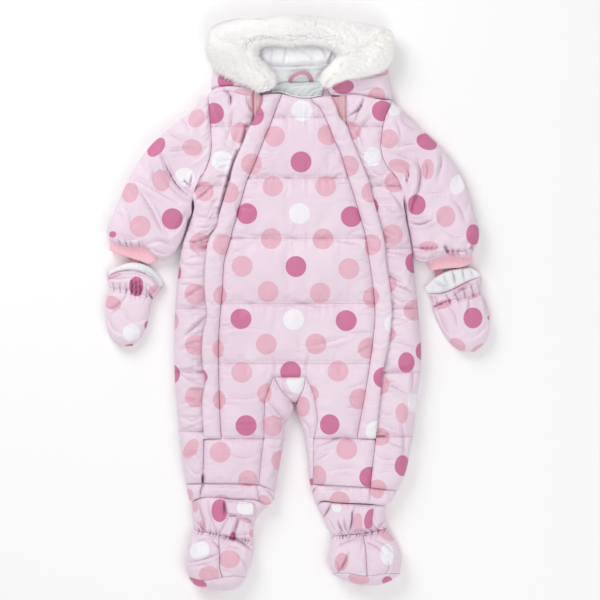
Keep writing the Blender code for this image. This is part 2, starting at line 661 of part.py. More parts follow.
def make_sleeve(which):
    """A sleeve and its knitted cuff: tubes laid flat, open at the armhole and at the wrist."""
    outline = SLEEVES[which]
    y = np.array(ROW_Y[:ARMPIT_ROW + 1], float) * MM
    x = side(which, y)
    y[0] = top_edge(x[0])
    armhole = np.stack([x + 3 * SIGN[which] * GAP, y], axis=-1)
    fan = armhole[-2] + (armhole[-1] - armhole[-2]) * np.array(ARMPIT_FAN)[:, None]
    armhole = np.vstack([armhole[:-1], fan, armhole[-1:]])
    elbow, hem = along(outline["elbow"], ELBOW_SHARES), along(outline["hem"], ELBOW_SHARES)
    upper = lofted(armhole, elbow, (0, 0.12, 0.4, 0.7))
    lower = patch(elbow, hem, outline["outer"], outline["inner"], (0, 0.15, 0.35, 0.55, 0.75, 0.92, 1))
    x, y = np.vstack([upper[0], lower[0]]), np.vstack([upper[1], lower[1]])
    tube("sleeve_" + which, x, y, *pillow(x, y, SLEEVE_CROWN, THIN_EDGE), "shell")

    x, y = ruled(CUFFS[which], (0, 0.08, 0.3, 0.5, 0.7, 0.92, 1))
    tube("cuff_" + which, x, y, *pillow(x, y, CUFF_CROWN, THIN_EDGE, RIB_REACH), "rib")


def make_mitten(which):
    """A mitten: back and front, the fleece that shows in its mouth, and the tape it hangs by."""
    shares = (0, 0.1, 0.35, 0.65, 0.9, 1)
    edge, rim_share = 3 * MM, 0.45  # the half height at its sides, and the height left at its mouth
    rims = MITTEN_RIMS[which]
    front_low = MITTEN_MIDDLE + GAP
    for face, first_row in (("back", 0), ("front", 1)):
        x, y = between({name: column[first_row:] for name, column in MITTENS[which].items()}, shares)
        rim = along(rims[face], shares)
        x, y = np.vstack([rim[:, 0], x]), np.vstack([rim[:, 1], y])
        outline = [*zip(x[:, 0], y[:, 0]), *zip(x[::-1, -1], y[::-1, -1])]
        inwards = to_outline(x, y, outline)
        if face == "back":
            low = (MITTEN_MIDDLE - edge) * (1 - flattened(inwards, TUBE_REACH))
            wall("mitten_back_" + which, x, y, MITTEN_MIDDLE, low, "shell")
        else:
            rim_rise = rim_share + (1 - rim_share) * rounded(np.abs(y - y[1]), SEAM_REACH)
            swell = rounded(inwards, TUBE_REACH) * rim_rise
            top = front_low + edge + (MITTEN_CROWN - front_low - edge) * swell
            wall("mitten_front_" + which, x, y, top, front_low, "shell")

    shares = (0.06, 0.3, 0.5, 0.7, 0.94)
    x, y = lofted(along(rims["back"], shares), along(rims["front"], shares), (0.05, 0.5, 0.94))
    top = np.full(x.shape, front_low + edge)
    top[1] += edge / 2
    wall("mitten_lining_" + which, x, y, top, front_low, "fleece")
    x, y = ruled(MITTEN_TAPES[which], (0, 1), rows=2)
    wall("mitten_tape_" + which, x, y, MITTEN_MIDDLE - GAP, MITTEN_MIDDLE - GAP - FACING_WALL, "tape")


def make_leg_end(which):
    """The turned hem band of a leg, and the bootie sewn into it: ankle, two upper halves and sole."""
    shares = (0, 0.06, 0.2, 0.4, 0.6, 0.8, 0.94, 1)
    band_x, band_y = ruled(BANDS[which], shares)
    heights = pillow(band_x, band_y, BAND_CROWN, THIN_EDGE)
    tube("leg_band_" + which, band_x, band_y, *heights, "shell")

    ankle = ANKLES[which]
    top_row = along(ankle["top"], shares)
    top_row[:, 1] = np.interp(top_row[:, 0], band_x[-1], band_y[-1]) - 2 * GAP
    x, y = patch(top_row, along(ankle["bottom"], shares), ankle["left"], ankle["right"], (0, 0.3, 0.7, 1))
    tube("ankle_" + which, x, y, *pillow(x, y, ANKLE_CROWN, THIN_EDGE, sewn=("last",)), "shell")

    foot = FEET[which]
    steps = (0, 0.18, 0.45, 0.75, 1)
    rise = np.array((0.5, 0.72, 0.93, 1, 0.92))[:, None]  # of the foot at each step, from the ankle down
    shares = (0, 0.06, 0.25, 0.5, 0.75, 0.94, 1)
    centre = shares.index(0.5)
    seam_row = along(foot["sole_seam"], shares)
    x, y = patch(along(foot["top"], shares), seam_row, foot["left"], foot["right"], steps)
    top, low = pillow(x, y, FOOT_CROWN, SOLE_EDGE, EDGE_REACH, sewn=())
    top = TUBE_MIDDLE + (top - TUBE_MIDDLE) * rise
    halves = ("outer", "inner")[::-SIGN[which]]
    for half, columns, seam in (
        (halves[0], np.s_[:, :centre + 1], "right"),
        (halves[1], np.s_[:, centre:], "left"),
    ):
        half_x = x[columns].copy()
        half_x[:, -1 if seam == "right" else 0] += SIGN["left" if seam == "right" else "right"] * GAP / 2
        tube(f"bootie_{half}_{which}", half_x, y[columns], top[columns], low[columns], "shell",
             mouths=("first", seam))

    steps = (0, 0.45, 0.8, 1)
    top_share = np.array((1, 0.86, 0.6, 0.25))[:, None]  # of the sole's height above the middle
    low_share = np.array((1, 0.9, 0.65, 0.2))[:, None]
    seam_row[:, 1] -= 2 * GAP
    x, y = lofted(seam_row, along(foot["sole_edge"], shares), steps)
    sole_top = TUBE_MIDDLE + (top[-1] - TUBE_MIDDLE) * top_share
    wall("sole_" + which, x, y, sole_top, TUBE_MIDDLE - (TUBE_MIDDLE - low[-1]) * low_share, "shell")


def make_ankle_tabs():
    """The tab and the straps that lie on the ankles."""
    for name, (thick, top_path, bottom_path) in ANKLE_TABS.items():
        x, y = ruled({"top": top_path, "bottom": bottom_path}, (0, 0.33, 0.67, 1))
        wall(name, x, y, ANKLE_CROWN + GAP + thick, ANKLE_CROWN + GAP, "shell")


def make_hood():
    """The hood, laid back with its face opening up: back, side walls, lining and fur trim."""
    edge = 4 * MM  # what the padding has at the hood's outside edges
    x, y = between(HOOD_BACK, (0, 0.06, 0.15, 0.3, 0.45, 0.6, 0.75, 0.9, 1))
    outline = [*zip(x[::-1, 0], y[::-1, 0]), *zip(x[:, -1], y[:, -1])]
    low = (HOOD_INSIDE - edge) * (1 - flattened(to_outline(x, y, outline), TUBE_REACH))
    wall("hood_back", x, y, HOOD_INSIDE, low, "shell")

    inside = HOOD_INSIDE + GAP
    shares = np.array((0, 0.1, 0.28, 0.5, 0.75, 1))
    for which, (outer_end, inner_end) in HOOD_SEAM_ENDS.items():
        x, y = between(HOOD_SIDES[which], shares)
        seam_x = outer_end + (inner_end - outer_end) * shares
        x, y = np.vstack([seam_x, x]), np.vstack([top_edge(seam_x) + 4 * GAP, y])
        swell = rounded(np.hypot(x - x[:, :1], y - y[:, :1]), TUBE_REACH)
        top = inside + edge + (HOOD_SIDE_CROWN - inside - edge) * swell
        top[0] -= SEAM_DEPTH * (top[0] - inside)
        wall("hood_side_" + which, x, y, top, inside, "shell")

    x, y = between(LINING, (0, 0.12, 0.3, 0.5, 0.7, 0.88, 1))
    puff = LINING["puff"][:, None] * np.array(LINING_GATHERS)
    wall("hood_lining", x, y, inside + puff, inside, "fleece")

    fur_low = HOOD_SIDE_CROWN + GAP
    x, y = between(FUR, (0, 0.12, 0.35, 0.65, 0.88, 1))
    gone = np.hypot(x - x[:, :1], y - y[:, :1])
    width = gone[:, -1:]
    swell = rounded(np.minimum(gone, width - gone), width / 2)
    swell = swell * np.clip(width / FUR_FULL_WIDTH, FUR_TIP_SHARE, 1)
    wall("fur_trim", x, y, fur_low + edge + (FUR_CROWN - fur_low - edge) * swell, fur_low, "fur")


def make_neck():
    """What shows in the neck: the facing inside the back neck, its binding and the hanger loop."""
    shares = np.linspace(0, 1, 8)
    facing_low = HOOD_INSIDE + GAP
    binding_low = facing_low + FACING_WALL + GAP
    x, y = ruled(FACING, shares)
    wall("collar_facing", x, y, facing_low + FACING_WALL, facing_low, "fleece")
    x, y = ruled(BINDING, shares, rows=2)
    wall("neck_binding", x, y, facing_low + BINDING_HEIGHT, binding_low, "fleece")

    line = along(HANGER_LOOP, np.linspace(0, 1, 10))
    heading = np.gradient(line, axis=0)
    heading /= np.linalg.norm(heading, axis=1, keepdims=True)
    across = np.stack([-heading[:, 1], heading[:, 0]], axis=-1) * LOOP_WIDTH / 2
    grid = np.stack([line + across, line - across], axis=1)
    wall("hanger_loop", grid[..., 0], grid[..., 1], LOOP_HEIGHT + LOOP_WALL, LOOP_HEIGHT, "shell")


# ---- the suit ---------------------------------------------------------------------------------

for item in list(bpy.data.objects):
    bpy.data.objects.remove(item)
parts = bpy.data.collections.new(SUIT)
bpy.context.scene.collection.children.link(parts)

MATERIAL_OF = {}
for slot, (colour, roughness) in MATERIALS.items():
    material = bpy.data.materials.new(slot)
    material.use_nodes = True
    shader = material.node_tree.nodes["Principled BSDF"]
    shader.inputs["Base Color"].default_value = (*colour, 1)
    shader.inputs["Roughness"].default_value = roughness
    shader.inputs["Metallic"].default_value = 0
    MATERIAL_OF[slot] = material

make_back()
make_front()
make_crotch()
for which_side in SIGN:
    make_side(which_side)
    make_flap(which_side)
    make_zip(which_side)
    make_sleeve(which_side)
    make_mitten(which_side)
    make_leg_end(which_side)
make_ankle_tabs()
make_hood()
make_neck()
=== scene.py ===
"""A padded baby snowsuit, laid flat on its back, from its back panel up to the stitches on its front."""

import bpy
import numpy as np
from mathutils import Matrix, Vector
from mathutils.bvhtree import BVHTree


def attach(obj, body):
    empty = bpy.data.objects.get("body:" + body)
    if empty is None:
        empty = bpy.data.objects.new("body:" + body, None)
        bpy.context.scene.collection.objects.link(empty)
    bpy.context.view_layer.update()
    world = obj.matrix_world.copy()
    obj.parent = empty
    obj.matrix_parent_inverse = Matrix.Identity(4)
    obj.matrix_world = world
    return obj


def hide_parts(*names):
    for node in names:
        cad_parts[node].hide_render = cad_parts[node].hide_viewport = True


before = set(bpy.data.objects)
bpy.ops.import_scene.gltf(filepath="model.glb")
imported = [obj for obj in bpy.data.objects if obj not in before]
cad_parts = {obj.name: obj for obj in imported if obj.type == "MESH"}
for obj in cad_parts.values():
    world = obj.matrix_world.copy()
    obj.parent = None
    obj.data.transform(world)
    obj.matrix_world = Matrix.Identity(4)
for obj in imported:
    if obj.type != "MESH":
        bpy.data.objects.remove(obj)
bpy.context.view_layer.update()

# ---- floor, light and camera ------------------------------------------------------------------
# The suit lies on a white paper sweep under two big soft boxes and a pale ceiling.
# It is looked at from straight above through a long lens.

MM = 0.001
VIEW_HEIGHT, VIEW_WIDTH = 8.0, 0.84
FLOOR_CORNERS = ((-4, -4), (4, -4), (4, 4), (-4, 4))

floor_mesh = bpy.data.meshes.new("floor")
floor_mesh.from_pydata([(x, y, -0.4 * MM) for x, y in FLOOR_CORNERS], [], [(0, 1, 2, 3)])
floor = bpy.data.objects.new("floor", floor_mesh)
bpy.context.scene.collection.objects.link(floor)
paper = bpy.data.materials.new("paper")
paper.use_nodes = True
paper_shader = paper.node_tree.nodes["Principled BSDF"]
paper_shader.inputs["Base Color"].default_value = (0.985, 0.985, 0.985, 1)
paper_shader.inputs["Roughness"].default_value = 0.9
paper_shader.inputs["Specular IOR Level"].default_value = 0.1
floor_mesh.materials.append(paper)

sky = bpy.data.worlds.new("studio")
bpy.context.scene.world = sky
sky.use_nodes = True
sky.node_tree.nodes["Background"].inputs["Color"].default_value = (1, 1, 1, 1)
sky.node_tree.nodes["Background"].inputs["Strength"].default_value = 0.56
bpy.context.scene.view_settings.view_transform = "Standard"


def soft_box(name, place, width, power):
    """A square area light that faces the middle of the suit."""
    light = bpy.data.lights.new(name, "AREA")
    light.shape = "SQUARE"
    light.size = width
    light.energy = power
    lamp = bpy.data.objects.new(name, light)
    lamp.location = place
    lamp.rotation_euler = (Vector((0, 0, 0)) - Vector(place)).to_track_quat("-Z", "Y").to_euler()
    bpy.context.scene.collection.objects.link(lamp)


soft_box("box_head", (-1.0, 1.4, 1.5), 1.2, 21)
soft_box("box_foot", (0.6, -1.1, 1.9), 1.4, 13)

lens = bpy.data.cameras.new("camera")
lens.sensor_width = 36
lens.lens = 36 * VIEW_HEIGHT / VIEW_WIDTH
lens.clip_end = 100
camera = bpy.data.objects.new("camera", lens)
camera.location = (3.5 * MM, 4.6 * MM, VIEW_HEIGHT)
bpy.context.scene.collection.objects.link(camera)
bpy.context.scene.camera = camera


# ---- back panel -------------------------------------------------------------------------------
# The back of the body and of both legs: one quilted layer of printed satin over wadding.
# It is flat where it lies on the floor, and its sides are sewn to the side fronts.

SQUARE = 1.4 * MM  # of the sewing chart, whose middle is the suit's origin
CHART_MIDDLE = (297.5, 303.3)
ROW_STEP = 3.5 * MM  # between the rows of a panel before the cloth settles
HELD_BESIDE = 0.52 * ROW_STEP  # how far from a row of quilting its stitches hold the cloth
BACK_INSIDE, FRONT_INSIDE, FRONT_CROWN = 13 * MM, 13.4 * MM, 31 * MM
ARMHOLE_END, GUSSET_POINT, FLAP_END = 163 * MM, -138 * MM, -189 * MM
LEAST_HEIGHT = 0.05 * MM  # of an underside over the floor
EDGE_REACH, QUILT_REACH = 26 * MM, 24 * MM
# How deep a fold is for each mm in its table. Then, in widths from its table, how wide it is where it
# lies over, how wide on its other side and how far it reaches. Its ridge has a place and a width in the
# same widths, and a height as a share of the depth.
FOLD_DEPTH, FOLD_STEEP, FOLD_SOFT, FOLD_REACH = 1.4, 0.62, 1.25, 4.4
RIDGE_AT, RIDGE_WIDTH, RIDGE_HEIGHT = 1.7, 0.95, 0.62
FILLING_PRESSURE, SETTLING_FRAMES, SHARP_FROM = 1.2, 14, np.radians(75)
LEFT, RIGHT = -1, 1
NAMES = {LEFT: "left", RIGHT: "right"}

SIDES = {
    LEFT: (
        (-125, 292), (-121, 241), (-120, 219), (-123, 201), (-129, 187), (-141, 173), (-150, 163),
        (-146, 147), (-144, 136), (-150, 114), (-160, 84), (-167, 38), (-172, -28), (-172, -95),
        (-166, -176), (-161, -224), (-156, -254),
    ),
    RIGHT: (
        (131, 283), (122, 259), (118, 240), (116, 222), (119, 203), (127, 189), (138, 177), (148, 163),
        (148, 138), (153, 114), (159, 82), (165, 26), (170, -25), (173, -64), (172, -95), (167, -130),
        (163, -176), (158, -205), (149, -242), (139, -262),
    ),
}
# The gap between the legs, and the seams of the inside-leg panels beside it
CROTCH = {
    "seam_left": (
        (-34, -103), (-40, -120), (-46, -138), (-46, -151), (-47, -165), (-47, -189), (-50, -210),
        (-52, -232), (-55, -258),
    ),
    "gap_left": (
        (-33, -103), (-24, -120), (-8, -138), (-6, -151), (-16, -165), (-19, -189), (-22, -210),
        (-26, -232), (-31, -258),
    ),
    "gap_right": (
        (11, -103), (8, -120), (-1, -138), (-1, -151), (4, -165), (10, -189), (13, -210), (15, -232),
        (18, -258),
    ),
    "seam_right": (
        (12, -103), (20, -120), (25, -138), (27, -151), (28, -165), (23, -189), (22, -210), (22, -232),
        (21, -258),
    ),
}
GUSSET_TOP = ((-34, -103), (12, -103))
TOP_EDGE = (
    (-126, 290), (-118, 298), (-104, 302), (-80, 302), (-60, 297), (-48, 291), (-38, 292), (-22, 292),
    (-10, 289), (4, 286), (20, 286), (31, 288), (46, 289), (66, 291), (84, 291), (102, 287), (118, 284),
    (133, 283),
)
HEM_EDGE = (
    (-156, -252), (-131, -251), (-67, -252), (-55, -253), (-31, -261), (17, -253), (54, -254),
    (100, -257), (139, -261),
)
# The rows of every body panel pass through these heights, with this many steps between them.
STATIONS, STEPS = (None, -103, -138, -189, None), (113, 10, 15, 19)
GUSSET_ROW, CROTCH_ROW, FLAP_END_ROW, LAST_ROW = np.cumsum(STEPS)
BACK_QUILTS = (260, 175, 91, 0, -84, -187)
DOT_SIZE, DOT_REPEAT = 10.4, 52 * SQUARE  # half a dot in squares, and how far apart big dots are
PALE, DEEP, WHITE = "P", "M", "W"


def chart(*squares):
    """Places on the sewing chart: in squares counted from its left, and from its top."""
    squares = np.array(squares, float)
    return (squares - CHART_MIDDLE) * (SQUARE, -SQUARE)


def smooth(known, values, at):
    """Values read at `at` from a smooth curve through (known, values), which may run either way."""
    known, values, at = (np.asarray(a, float) for a in (known, values, at))
    if known[0] > known[-1]:
        known, values = known[::-1], values[::-1]
    slope = np.gradient(values, known)
    at = np.clip(at, known[0], known[-1])
    i = np.clip(np.searchsorted(known, at) - 1, 0, len(known) - 2)
    span = known[i + 1] - known[i]
    t = (at - known[i]) / span
    rise = values[i + 1] - values[i]
    leaving = slope[i] * span - rise
    arriving = rise - slope[i + 1] * span
    return values[i] + rise * t + t * (1 - t) * ((1 - t) * leaving + t * arriving)


def upright(points, y):
    """x at these heights on a line given from the top down, in millimetres."""
    points = np.array(points, float) * MM
    return smooth(points[:, 1], points[:, 0], y)


def level(points, x):
    """y at these places on a line given from left to right, in millimetres."""
    points = np.array(points, float) * MM
    return smooth(points[:, 0], points[:, 1], x)


def rounded(distance, reach):
    """0 on an edge and 1 from `reach` inwards, along a quarter of an ellipse."""
    t = np.clip(distance / reach, 0, 1)
    return np.sqrt(t * (2 - t))


def to_line(x, y, line):
    """How far each point is from a line of straight stretches, what share of the line has gone by there,
    and on which side it is of a line that runs downwards: 1 on its left, and -1 on its right.
    """
    best, share, side = np.full(np.shape(x), 9.0), np.zeros(np.shape(x)), np.ones(np.shape(x))
    gone = 0.0
    for (ax, ay), (bx, by) in zip(line, line[1:]):
        dx, dy = bx - ax, by - ay
        length = max(np.hypot(dx, dy), 1e-9)
        t = np.clip(((x - ax) * dx + (y - ay) * dy) / length ** 2, 0, 1)
        away = np.hypot(x - ax - t * dx, y - ay - t * dy)
        nearer = away < best
        share = np.where(nearer, gone + t * length, share)
        side = np.where(nearer, np.sign(dy * (x - ax) - dx * (y - ay)), side)
        best = np.where(nearer, away, best)
        gone += length
    return best, share / gone, side


def uneven(run, seed=0.0):
    """Uneven waves along a seam, as sewing gathers cloth: about -1 to 1."""
    waves = ((23, 0.35), (14.7, 0.45), (9.4, 0.35), (6.3, 0.2))
    return sum(share * np.sin(2 * np.pi * run / (length * MM) + 2.1 * k + seed * (k + 1.3))
               for k, (length, share) in enumerate(waves))


def puckers(run, away, depth, reach, seed=0.0):
    """The ripples that a line of stitching draws into the cloth beside it, which die away from it."""
    strength = 0.65 + 0.35 * np.sin(run / (31 * MM) + seed)
    return depth * strength * uneven(run, seed) * np.exp(-away / reach) * np.clip(away / (1.5 * MM), 0, 1)


def pleats(run, pitch, seed=0.0):
    """Gathers along an elastic: round ridges of uneven width with sharp troughs between, from -1 to 1."""
    turns = run / pitch
    turns = turns + 0.32 * np.sin(1.9 * turns + seed) + 0.22 * np.sin(0.83 * turns + 2 * seed)
    return 2 * np.abs(np.sin(np.pi * turns)) ** 0.8 - 1


def curved(places):
    """A path on the chart, given across, down, across, down, with its corners cut off twice."""
    path = chart(*np.reshape(places, (-1, 2)))
    for _ in range(2):
        before, after = path[:-1], path[1:]
        cut = np.stack([0.75 * before + 0.25 * after, 0.25 * before + 0.75 * after], axis=1)
        path = np.vstack([path[:1], cut.reshape(-1, 2), path[-1:]])
    return path


def beside(x, y, path, reach):
    """Which points are in the box that a path reaches over on all sides."""
    (x_low, y_low), (x_high, y_high) = path.min(axis=0) - reach, path.max(axis=0) + reach
    return (x > x_low) & (x < x_high) & (y > y_low) & (y < y_high)


def creased(x, y, z, creases):
    """Presses folds into a panel: each is its path on the chart, and then its depth and width in mm.

    The cloth rises steeply on one side of a fold, where it lies over, and softly on the other.
    """
    z = z.copy()
    for *places, depth, width in creases:
        path = curved(places)
        there = beside(x, y, path, FOLD_REACH * width * MM)
        away, share, side = to_line(x[there], y[there], path)
        t = away / (width * MM) * side
        fade = np.sin(np.pi * np.clip(0.12 + 0.76 * share, 0, 1)) ** 0.7
        trough = np.where(t > 0, np.exp(-(t / FOLD_STEEP) ** 2), np.exp(-(t / FOLD_SOFT) ** 2))
        ridge = RIDGE_HEIGHT * np.exp(-((t - RIDGE_AT) / RIDGE_WIDTH) ** 2)
        z[there] += FOLD_DEPTH * depth * MM * fade * (ridge - trough)
    return z


def fold_shade_lines(x, y, creases):
    """The bottom of each fold, where shade is painted: how far from each point it is in mm, and how deep.
    """
    nearest, deep = np.full(x.shape, 9.0), np.zeros(x.shape)
    for *places, depth, _ in creases:
        path = curved(places)
        there = beside(x, y, path, 9 * MM)
        away, share, _ = to_line(x[there], y[there], path)
        strength = min(depth / 2.4, 2.0) * np.sin(np.pi * np.clip(0.1 + 0.8 * share, 0, 1))
        nearer = away / MM < nearest[there]
        deep[there] = np.where(nearer, strength, deep[there])
        nearest[there] = np.where(nearer, away / MM, nearest[there])
    return np.stack([nearest, deep, 0 * deep], axis=-1)


def quilt_folds(lines, left, right):
    """The thin folds that rows of quilting make across a panel, between two columns of the chart."""
    downs = [CHART_MIDDLE[1] - line * MM / SQUARE for line in lines]
    return tuple((left, down, (left + right) / 2, down + 0.6, right, down, 0.9, 2.2) for down in downs)


def seam_wrinkles(seam, side, rows, step, reach, seed):
    """Fine short wrinkles that run out from a seam, to the left or right, where sewing has drawn it up."""
    rng = np.random.default_rng(seed)
    wrinkles = []
    evenly = np.arange(*rows, step)
    for down in evenly + rng.uniform(-0.4, 0.4, len(evenly)) * step:
        start = CHART_MIDDLE[0] + float(seam((CHART_MIDDLE[1] - down) * SQUARE)) / SQUARE
        start += side * rng.uniform(0, 3)
        length, slope, bend = reach * rng.uniform(0.45, 1), rng.normal(0.05, 0.22), rng.uniform(-1.2, 1.2)
        depth, width = rng.uniform(0.35, 1.1), rng.uniform(1.4, 2.1)
        wrinkles.append((start, down, start + side * length / 2, down + slope * length / 2 + bend,
                         start + side * length, down + slope * length, depth, width))
    return tuple(wrinkles)


def body_rows(first, last, left, right, shares):
    """Plan points of a body panel between two edges, over its rows."""
    rows = np.arange(first, last + 1)
    part = np.clip(np.searchsorted(np.cumsum(STEPS), rows, side="left"), 0, len(STEPS) - 1)
    start = np.concatenate([[0], np.cumsum(STEPS)])
    f = ((rows - start[part]) / np.array(STEPS)[part])[:, None]
    u = np.asarray(shares)[None, :]
    x = np.zeros((len(rows), len(shares)))
    for _ in range(4):
        inner = [np.full(x.shape, station * MM) for station in STATIONS[1:-1]]
        heights = [level(TOP_EDGE, x), *inner, level(HEM_EDGE, x)]
        upper = np.choose(part[:, None], heights[:-1])
        lower = np.choose(part[:, None], heights[1:])
        y = upper * (1 - f) + lower * f
        x = left(y) * (1 - u) + right(y) * u
    return x, y


def free_edge(x, y):
    """How far a point of the body is from the nearest edge that isn't sewn to a sleeve."""
    sewn = np.clip((y - 120 * MM) / (45 * MM), 0, 1) * EDGE_REACH
    sides = np.minimum(x - upright(SIDES[LEFT], y), upright(SIDES[RIGHT], y) - x) + sewn
    gap = [*CROTCH["gap_left"][:1:-1], *CROTCH["gap_right"][2:]]
    return np.minimum(sides, to_line(x, y, np.array(gap) * MM)[0])


def to_quilting(y, lines):
    """Distance from the nearest of these lines of quilting."""
    return np.abs(y[..., None] - np.array(lines) * MM).min(axis=-1)


def charted(x, y, dots):
    """The print where a chart places its dots: how far outside a dot each point is, and its colour.

    Dots are listed by their colour, each with its place and, where the cloth tilts it, its form.
    """
    edge, deep, white = np.full(x.shape, 30.0), np.zeros(x.shape), np.zeros(x.shape)
    for kind, places in dots.items():
        for across, down, *form in places:
            half_width, half_height, turn = (*form, *(DOT_SIZE, DOT_SIZE, 0)[len(form):])
            (cx, cy), = chart((across, down))
            c, s = np.cos(np.radians(turn)), np.sin(np.radians(turn))
            u = ((x - cx) * c + (y - cy) * s) / (half_width * SQUARE)
            v = (-(x - cx) * s + (y - cy) * c) / (half_height * SQUARE)
            away = (np.hypot(u, v) - 1) * min(half_width, half_height) * SQUARE / MM
            nearer = away < edge
            edge = np.where(nearer, away, edge)
            deep = np.where(nearer, kind == DEEP, deep)
            white = np.where(nearer, kind == WHITE, white)
    return np.stack([edge, deep, white], axis=-1)


def repeated(x, y, start, turn=0.0):
    """The print as it runs on: square rows of big dots with pale ones in the middle of each square."""
    c, s = np.cos(turn), np.sin(turn)
    (cx, cy), = chart(start)
    u = ((x - cx) * c + (y - cy) * s) / DOT_REPEAT
    v = (-(x - cx) * s + (y - cy) * c) / DOT_REPEAT
    i, j = np.round(u), np.round(v)
    corner = np.hypot(u - i, v - j)
    middle = np.hypot(u - np.floor(u) - 0.5, v - np.floor(v) - 0.5)
    edge = (np.minimum(corner, middle) * DOT_REPEAT - DOT_SIZE * SQUARE) / MM
    odd_row, odd_column = np.mod(j, 2) > 0.5, np.mod(i, 2) > 0.5
    on_corner = corner < middle
    white = on_corner & ~odd_row & ~odd_column
    deep = on_corner & (odd_row != odd_column)
    return np.stack([edge, deep, white], axis=-1)


def loose(name, vertices, faces, edges=()):
    """A plain object in the scene, made from its points."""
    mesh = bpy.data.meshes.new(name)
    mesh.from_pydata(vertices, edges, faces)
    mesh.shade_smooth()
    item = bpy.data.objects.new(name, mesh)
    bpy.context.scene.collection.objects.link(item)
    return item


def settled(sheet, held, growth, cap):
    """Lets cloth find its own folds over its filling, held where it is stitched.

    The sheet is an (x, y, z) grid, whose cloth is `growth` longer than the shape it is sewn into.
    """
    grid = np.stack(sheet, axis=-1)
    index = np.arange(grid[..., 0].size).reshape(grid.shape[:2])
    faces = np.stack([index[:-1, :-1], index[1:, :-1], index[1:, 1:], index[:-1, 1:]], axis=-1)
    rest = grid.reshape(-1, 3)
    cloth = loose("settling", rest.tolist(), faces.reshape(-1, 4).tolist())
    stitches = cloth.vertex_groups.new(name="stitched")
    stitches.add(np.flatnonzero(held).tolist(), 1.0, "REPLACE")
    settings = cloth.modifiers.new("settling", "CLOTH").settings
    for name, value in {
        "quality": 6, "mass": 0.05, "tension_stiffness": 15, "compression_stiffness": 15,
        "shear_stiffness": 6, "bending_stiffness": 4, "air_damping": 2, "vertex_group_mass": "stitched",
        "shrink_min": -growth, "use_pressure": True, "uniform_pressure_force": FILLING_PRESSURE,
    }.items():
        setattr(settings, name, value)
    settings.effector_weights.gravity = 0
    for number in range(1, SETTLING_FRAMES + 1):
        bpy.context.scene.frame_set(number)
    moved = np.zeros(rest.size)
    cloth.evaluated_get(bpy.context.evaluated_depsgraph_get()).data.vertices.foreach_get("co", moved)
    bpy.data.objects.remove(cloth)
    bpy.context.scene.frame_set(1)
    move = moved.reshape(-1, 3) - rest
    far = np.linalg.norm(move, axis=1, keepdims=True)
    move *= cap * np.tanh(far / cap) / np.maximum(far, 1e-9)
    return np.moveaxis((rest + move).reshape(grid.shape), -1, 0)


def doubled(*grids):
    """The same grids with a point more between each two, on a smooth curve."""
    finer = []
    for grid in grids:
        for _ in range(2):
            padded = np.concatenate([2 * grid[:1] - grid[1:2], grid, 2 * grid[-1:] - grid[-2:-1]])
            between = (9 * (padded[1:-2] + padded[2:-1]) - padded[:-3] - padded[3:]) / 16
            whole = np.empty((2 * len(grid) - 1, *grid.shape[1:]))
            whole[::2], whole[1::2] = grid, between
            grid = whole.swapaxes(0, 1)
        finer.append(grid)
    return finer


def wall(name, x, y, top, low, material, slot, cells=None, **faces_hold):
    """A closed wall of cloth over a grid, between its two faces, riding on the suit.

    What its faces hold, such as their print, is given by name, for both or for the upper and the lower.
    """
    cells = np.ones((x.shape[0] - 1, x.shape[1] - 1), bool) if cells is None else cells
    index = np.arange(x.size).reshape(x.shape)
    ring = np.stack([index[:-1, :-1], index[:-1, 1:], index[1:, 1:], index[1:, :-1]], axis=-1)[cells]
    below = np.pad(cells, 1)
    across = below[1:, 1:-1].astype(int) - below[:-1, 1:-1]
    down = below[1:-1, 1:].astype(int) - below[1:-1, :-1]
    edges = [np.stack([index[:, :-1][across == 1], index[:, 1:][across == 1]], axis=-1),
             np.stack([index[:, 1:][across == -1], index[:, :-1][across == -1]], axis=-1),
             np.stack([index[1:][down == 1], index[:-1][down == 1]], axis=-1),
             np.stack([index[:-1][down == -1], index[1:][down == -1]], axis=-1)]
    edges = np.vstack(edges)
    n = x.size
    walls = np.stack([edges[:, 1] + n, edges[:, 0] + n, edges[:, 0], edges[:, 1]], axis=-1)
    faces = np.vstack([ring[:, ::-1], ring + n, walls])
    j, i = np.nonzero(cells)
    first, along, down = np.stack([x, y], axis=-1)[[j, j, j + 1], [i, i + 1, i]]
    if np.cross(along - first, down - first).sum() > 0:
        faces = faces[:, ::-1]
    points = np.vstack([np.stack([x, y, z + 0 * x], axis=-1).reshape(-1, 3) for z in (top, low)])
    used, faces = np.unique(faces, return_inverse=True)
    piece = loose(name, points[used].tolist(), faces.reshape(-1, 4).tolist())
    for label, values in faces_hold.items():
        values = np.vstack([values[0].reshape(-1, 3), values[-1].reshape(-1, 3)])
        layer = piece.data.attributes.new(label, "FLOAT_VECTOR", "POINT")
        layer.data.foreach_set("vector", values[used].ravel())
    piece.data.set_sharp_from_angle(angle=SHARP_FROM)
    piece.data.materials.append(material)
    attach(piece, "root")
    return piece


def padded_wall(name, node, fill, *shape, **faces_hold):
    """A closed wall of cloth over wadding, which stands for a CAD node."""
    piece = wall(name, *shape, **faces_hold)
    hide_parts(node)
    return piece


class Wire:
    """An output of a material's node. Sums written with it add the Math nodes that work them out."""

    def __init__(self, recipe, socket):
        self.recipe, self.socket = recipe, socket

    def sum(self, operation, other):
        return self.recipe.add("ShaderNodeMath", {"operation": operation}, {0: self, 1: other})

    def __add__(self, other):
        return self.sum("ADD", other)

    def __sub__(self, other):
        return self.sum("SUBTRACT", other)

    def __mul__(self, other):
        return self.sum("MULTIPLY", other)

    def between(self, low, high):
        """0 at low and 1 at high, and no less or more."""
        limits = {"Value": self, "From Min": low, "From Max": high}
        return self.recipe.add("ShaderNodeMapRange", {"clamp": True}, limits)


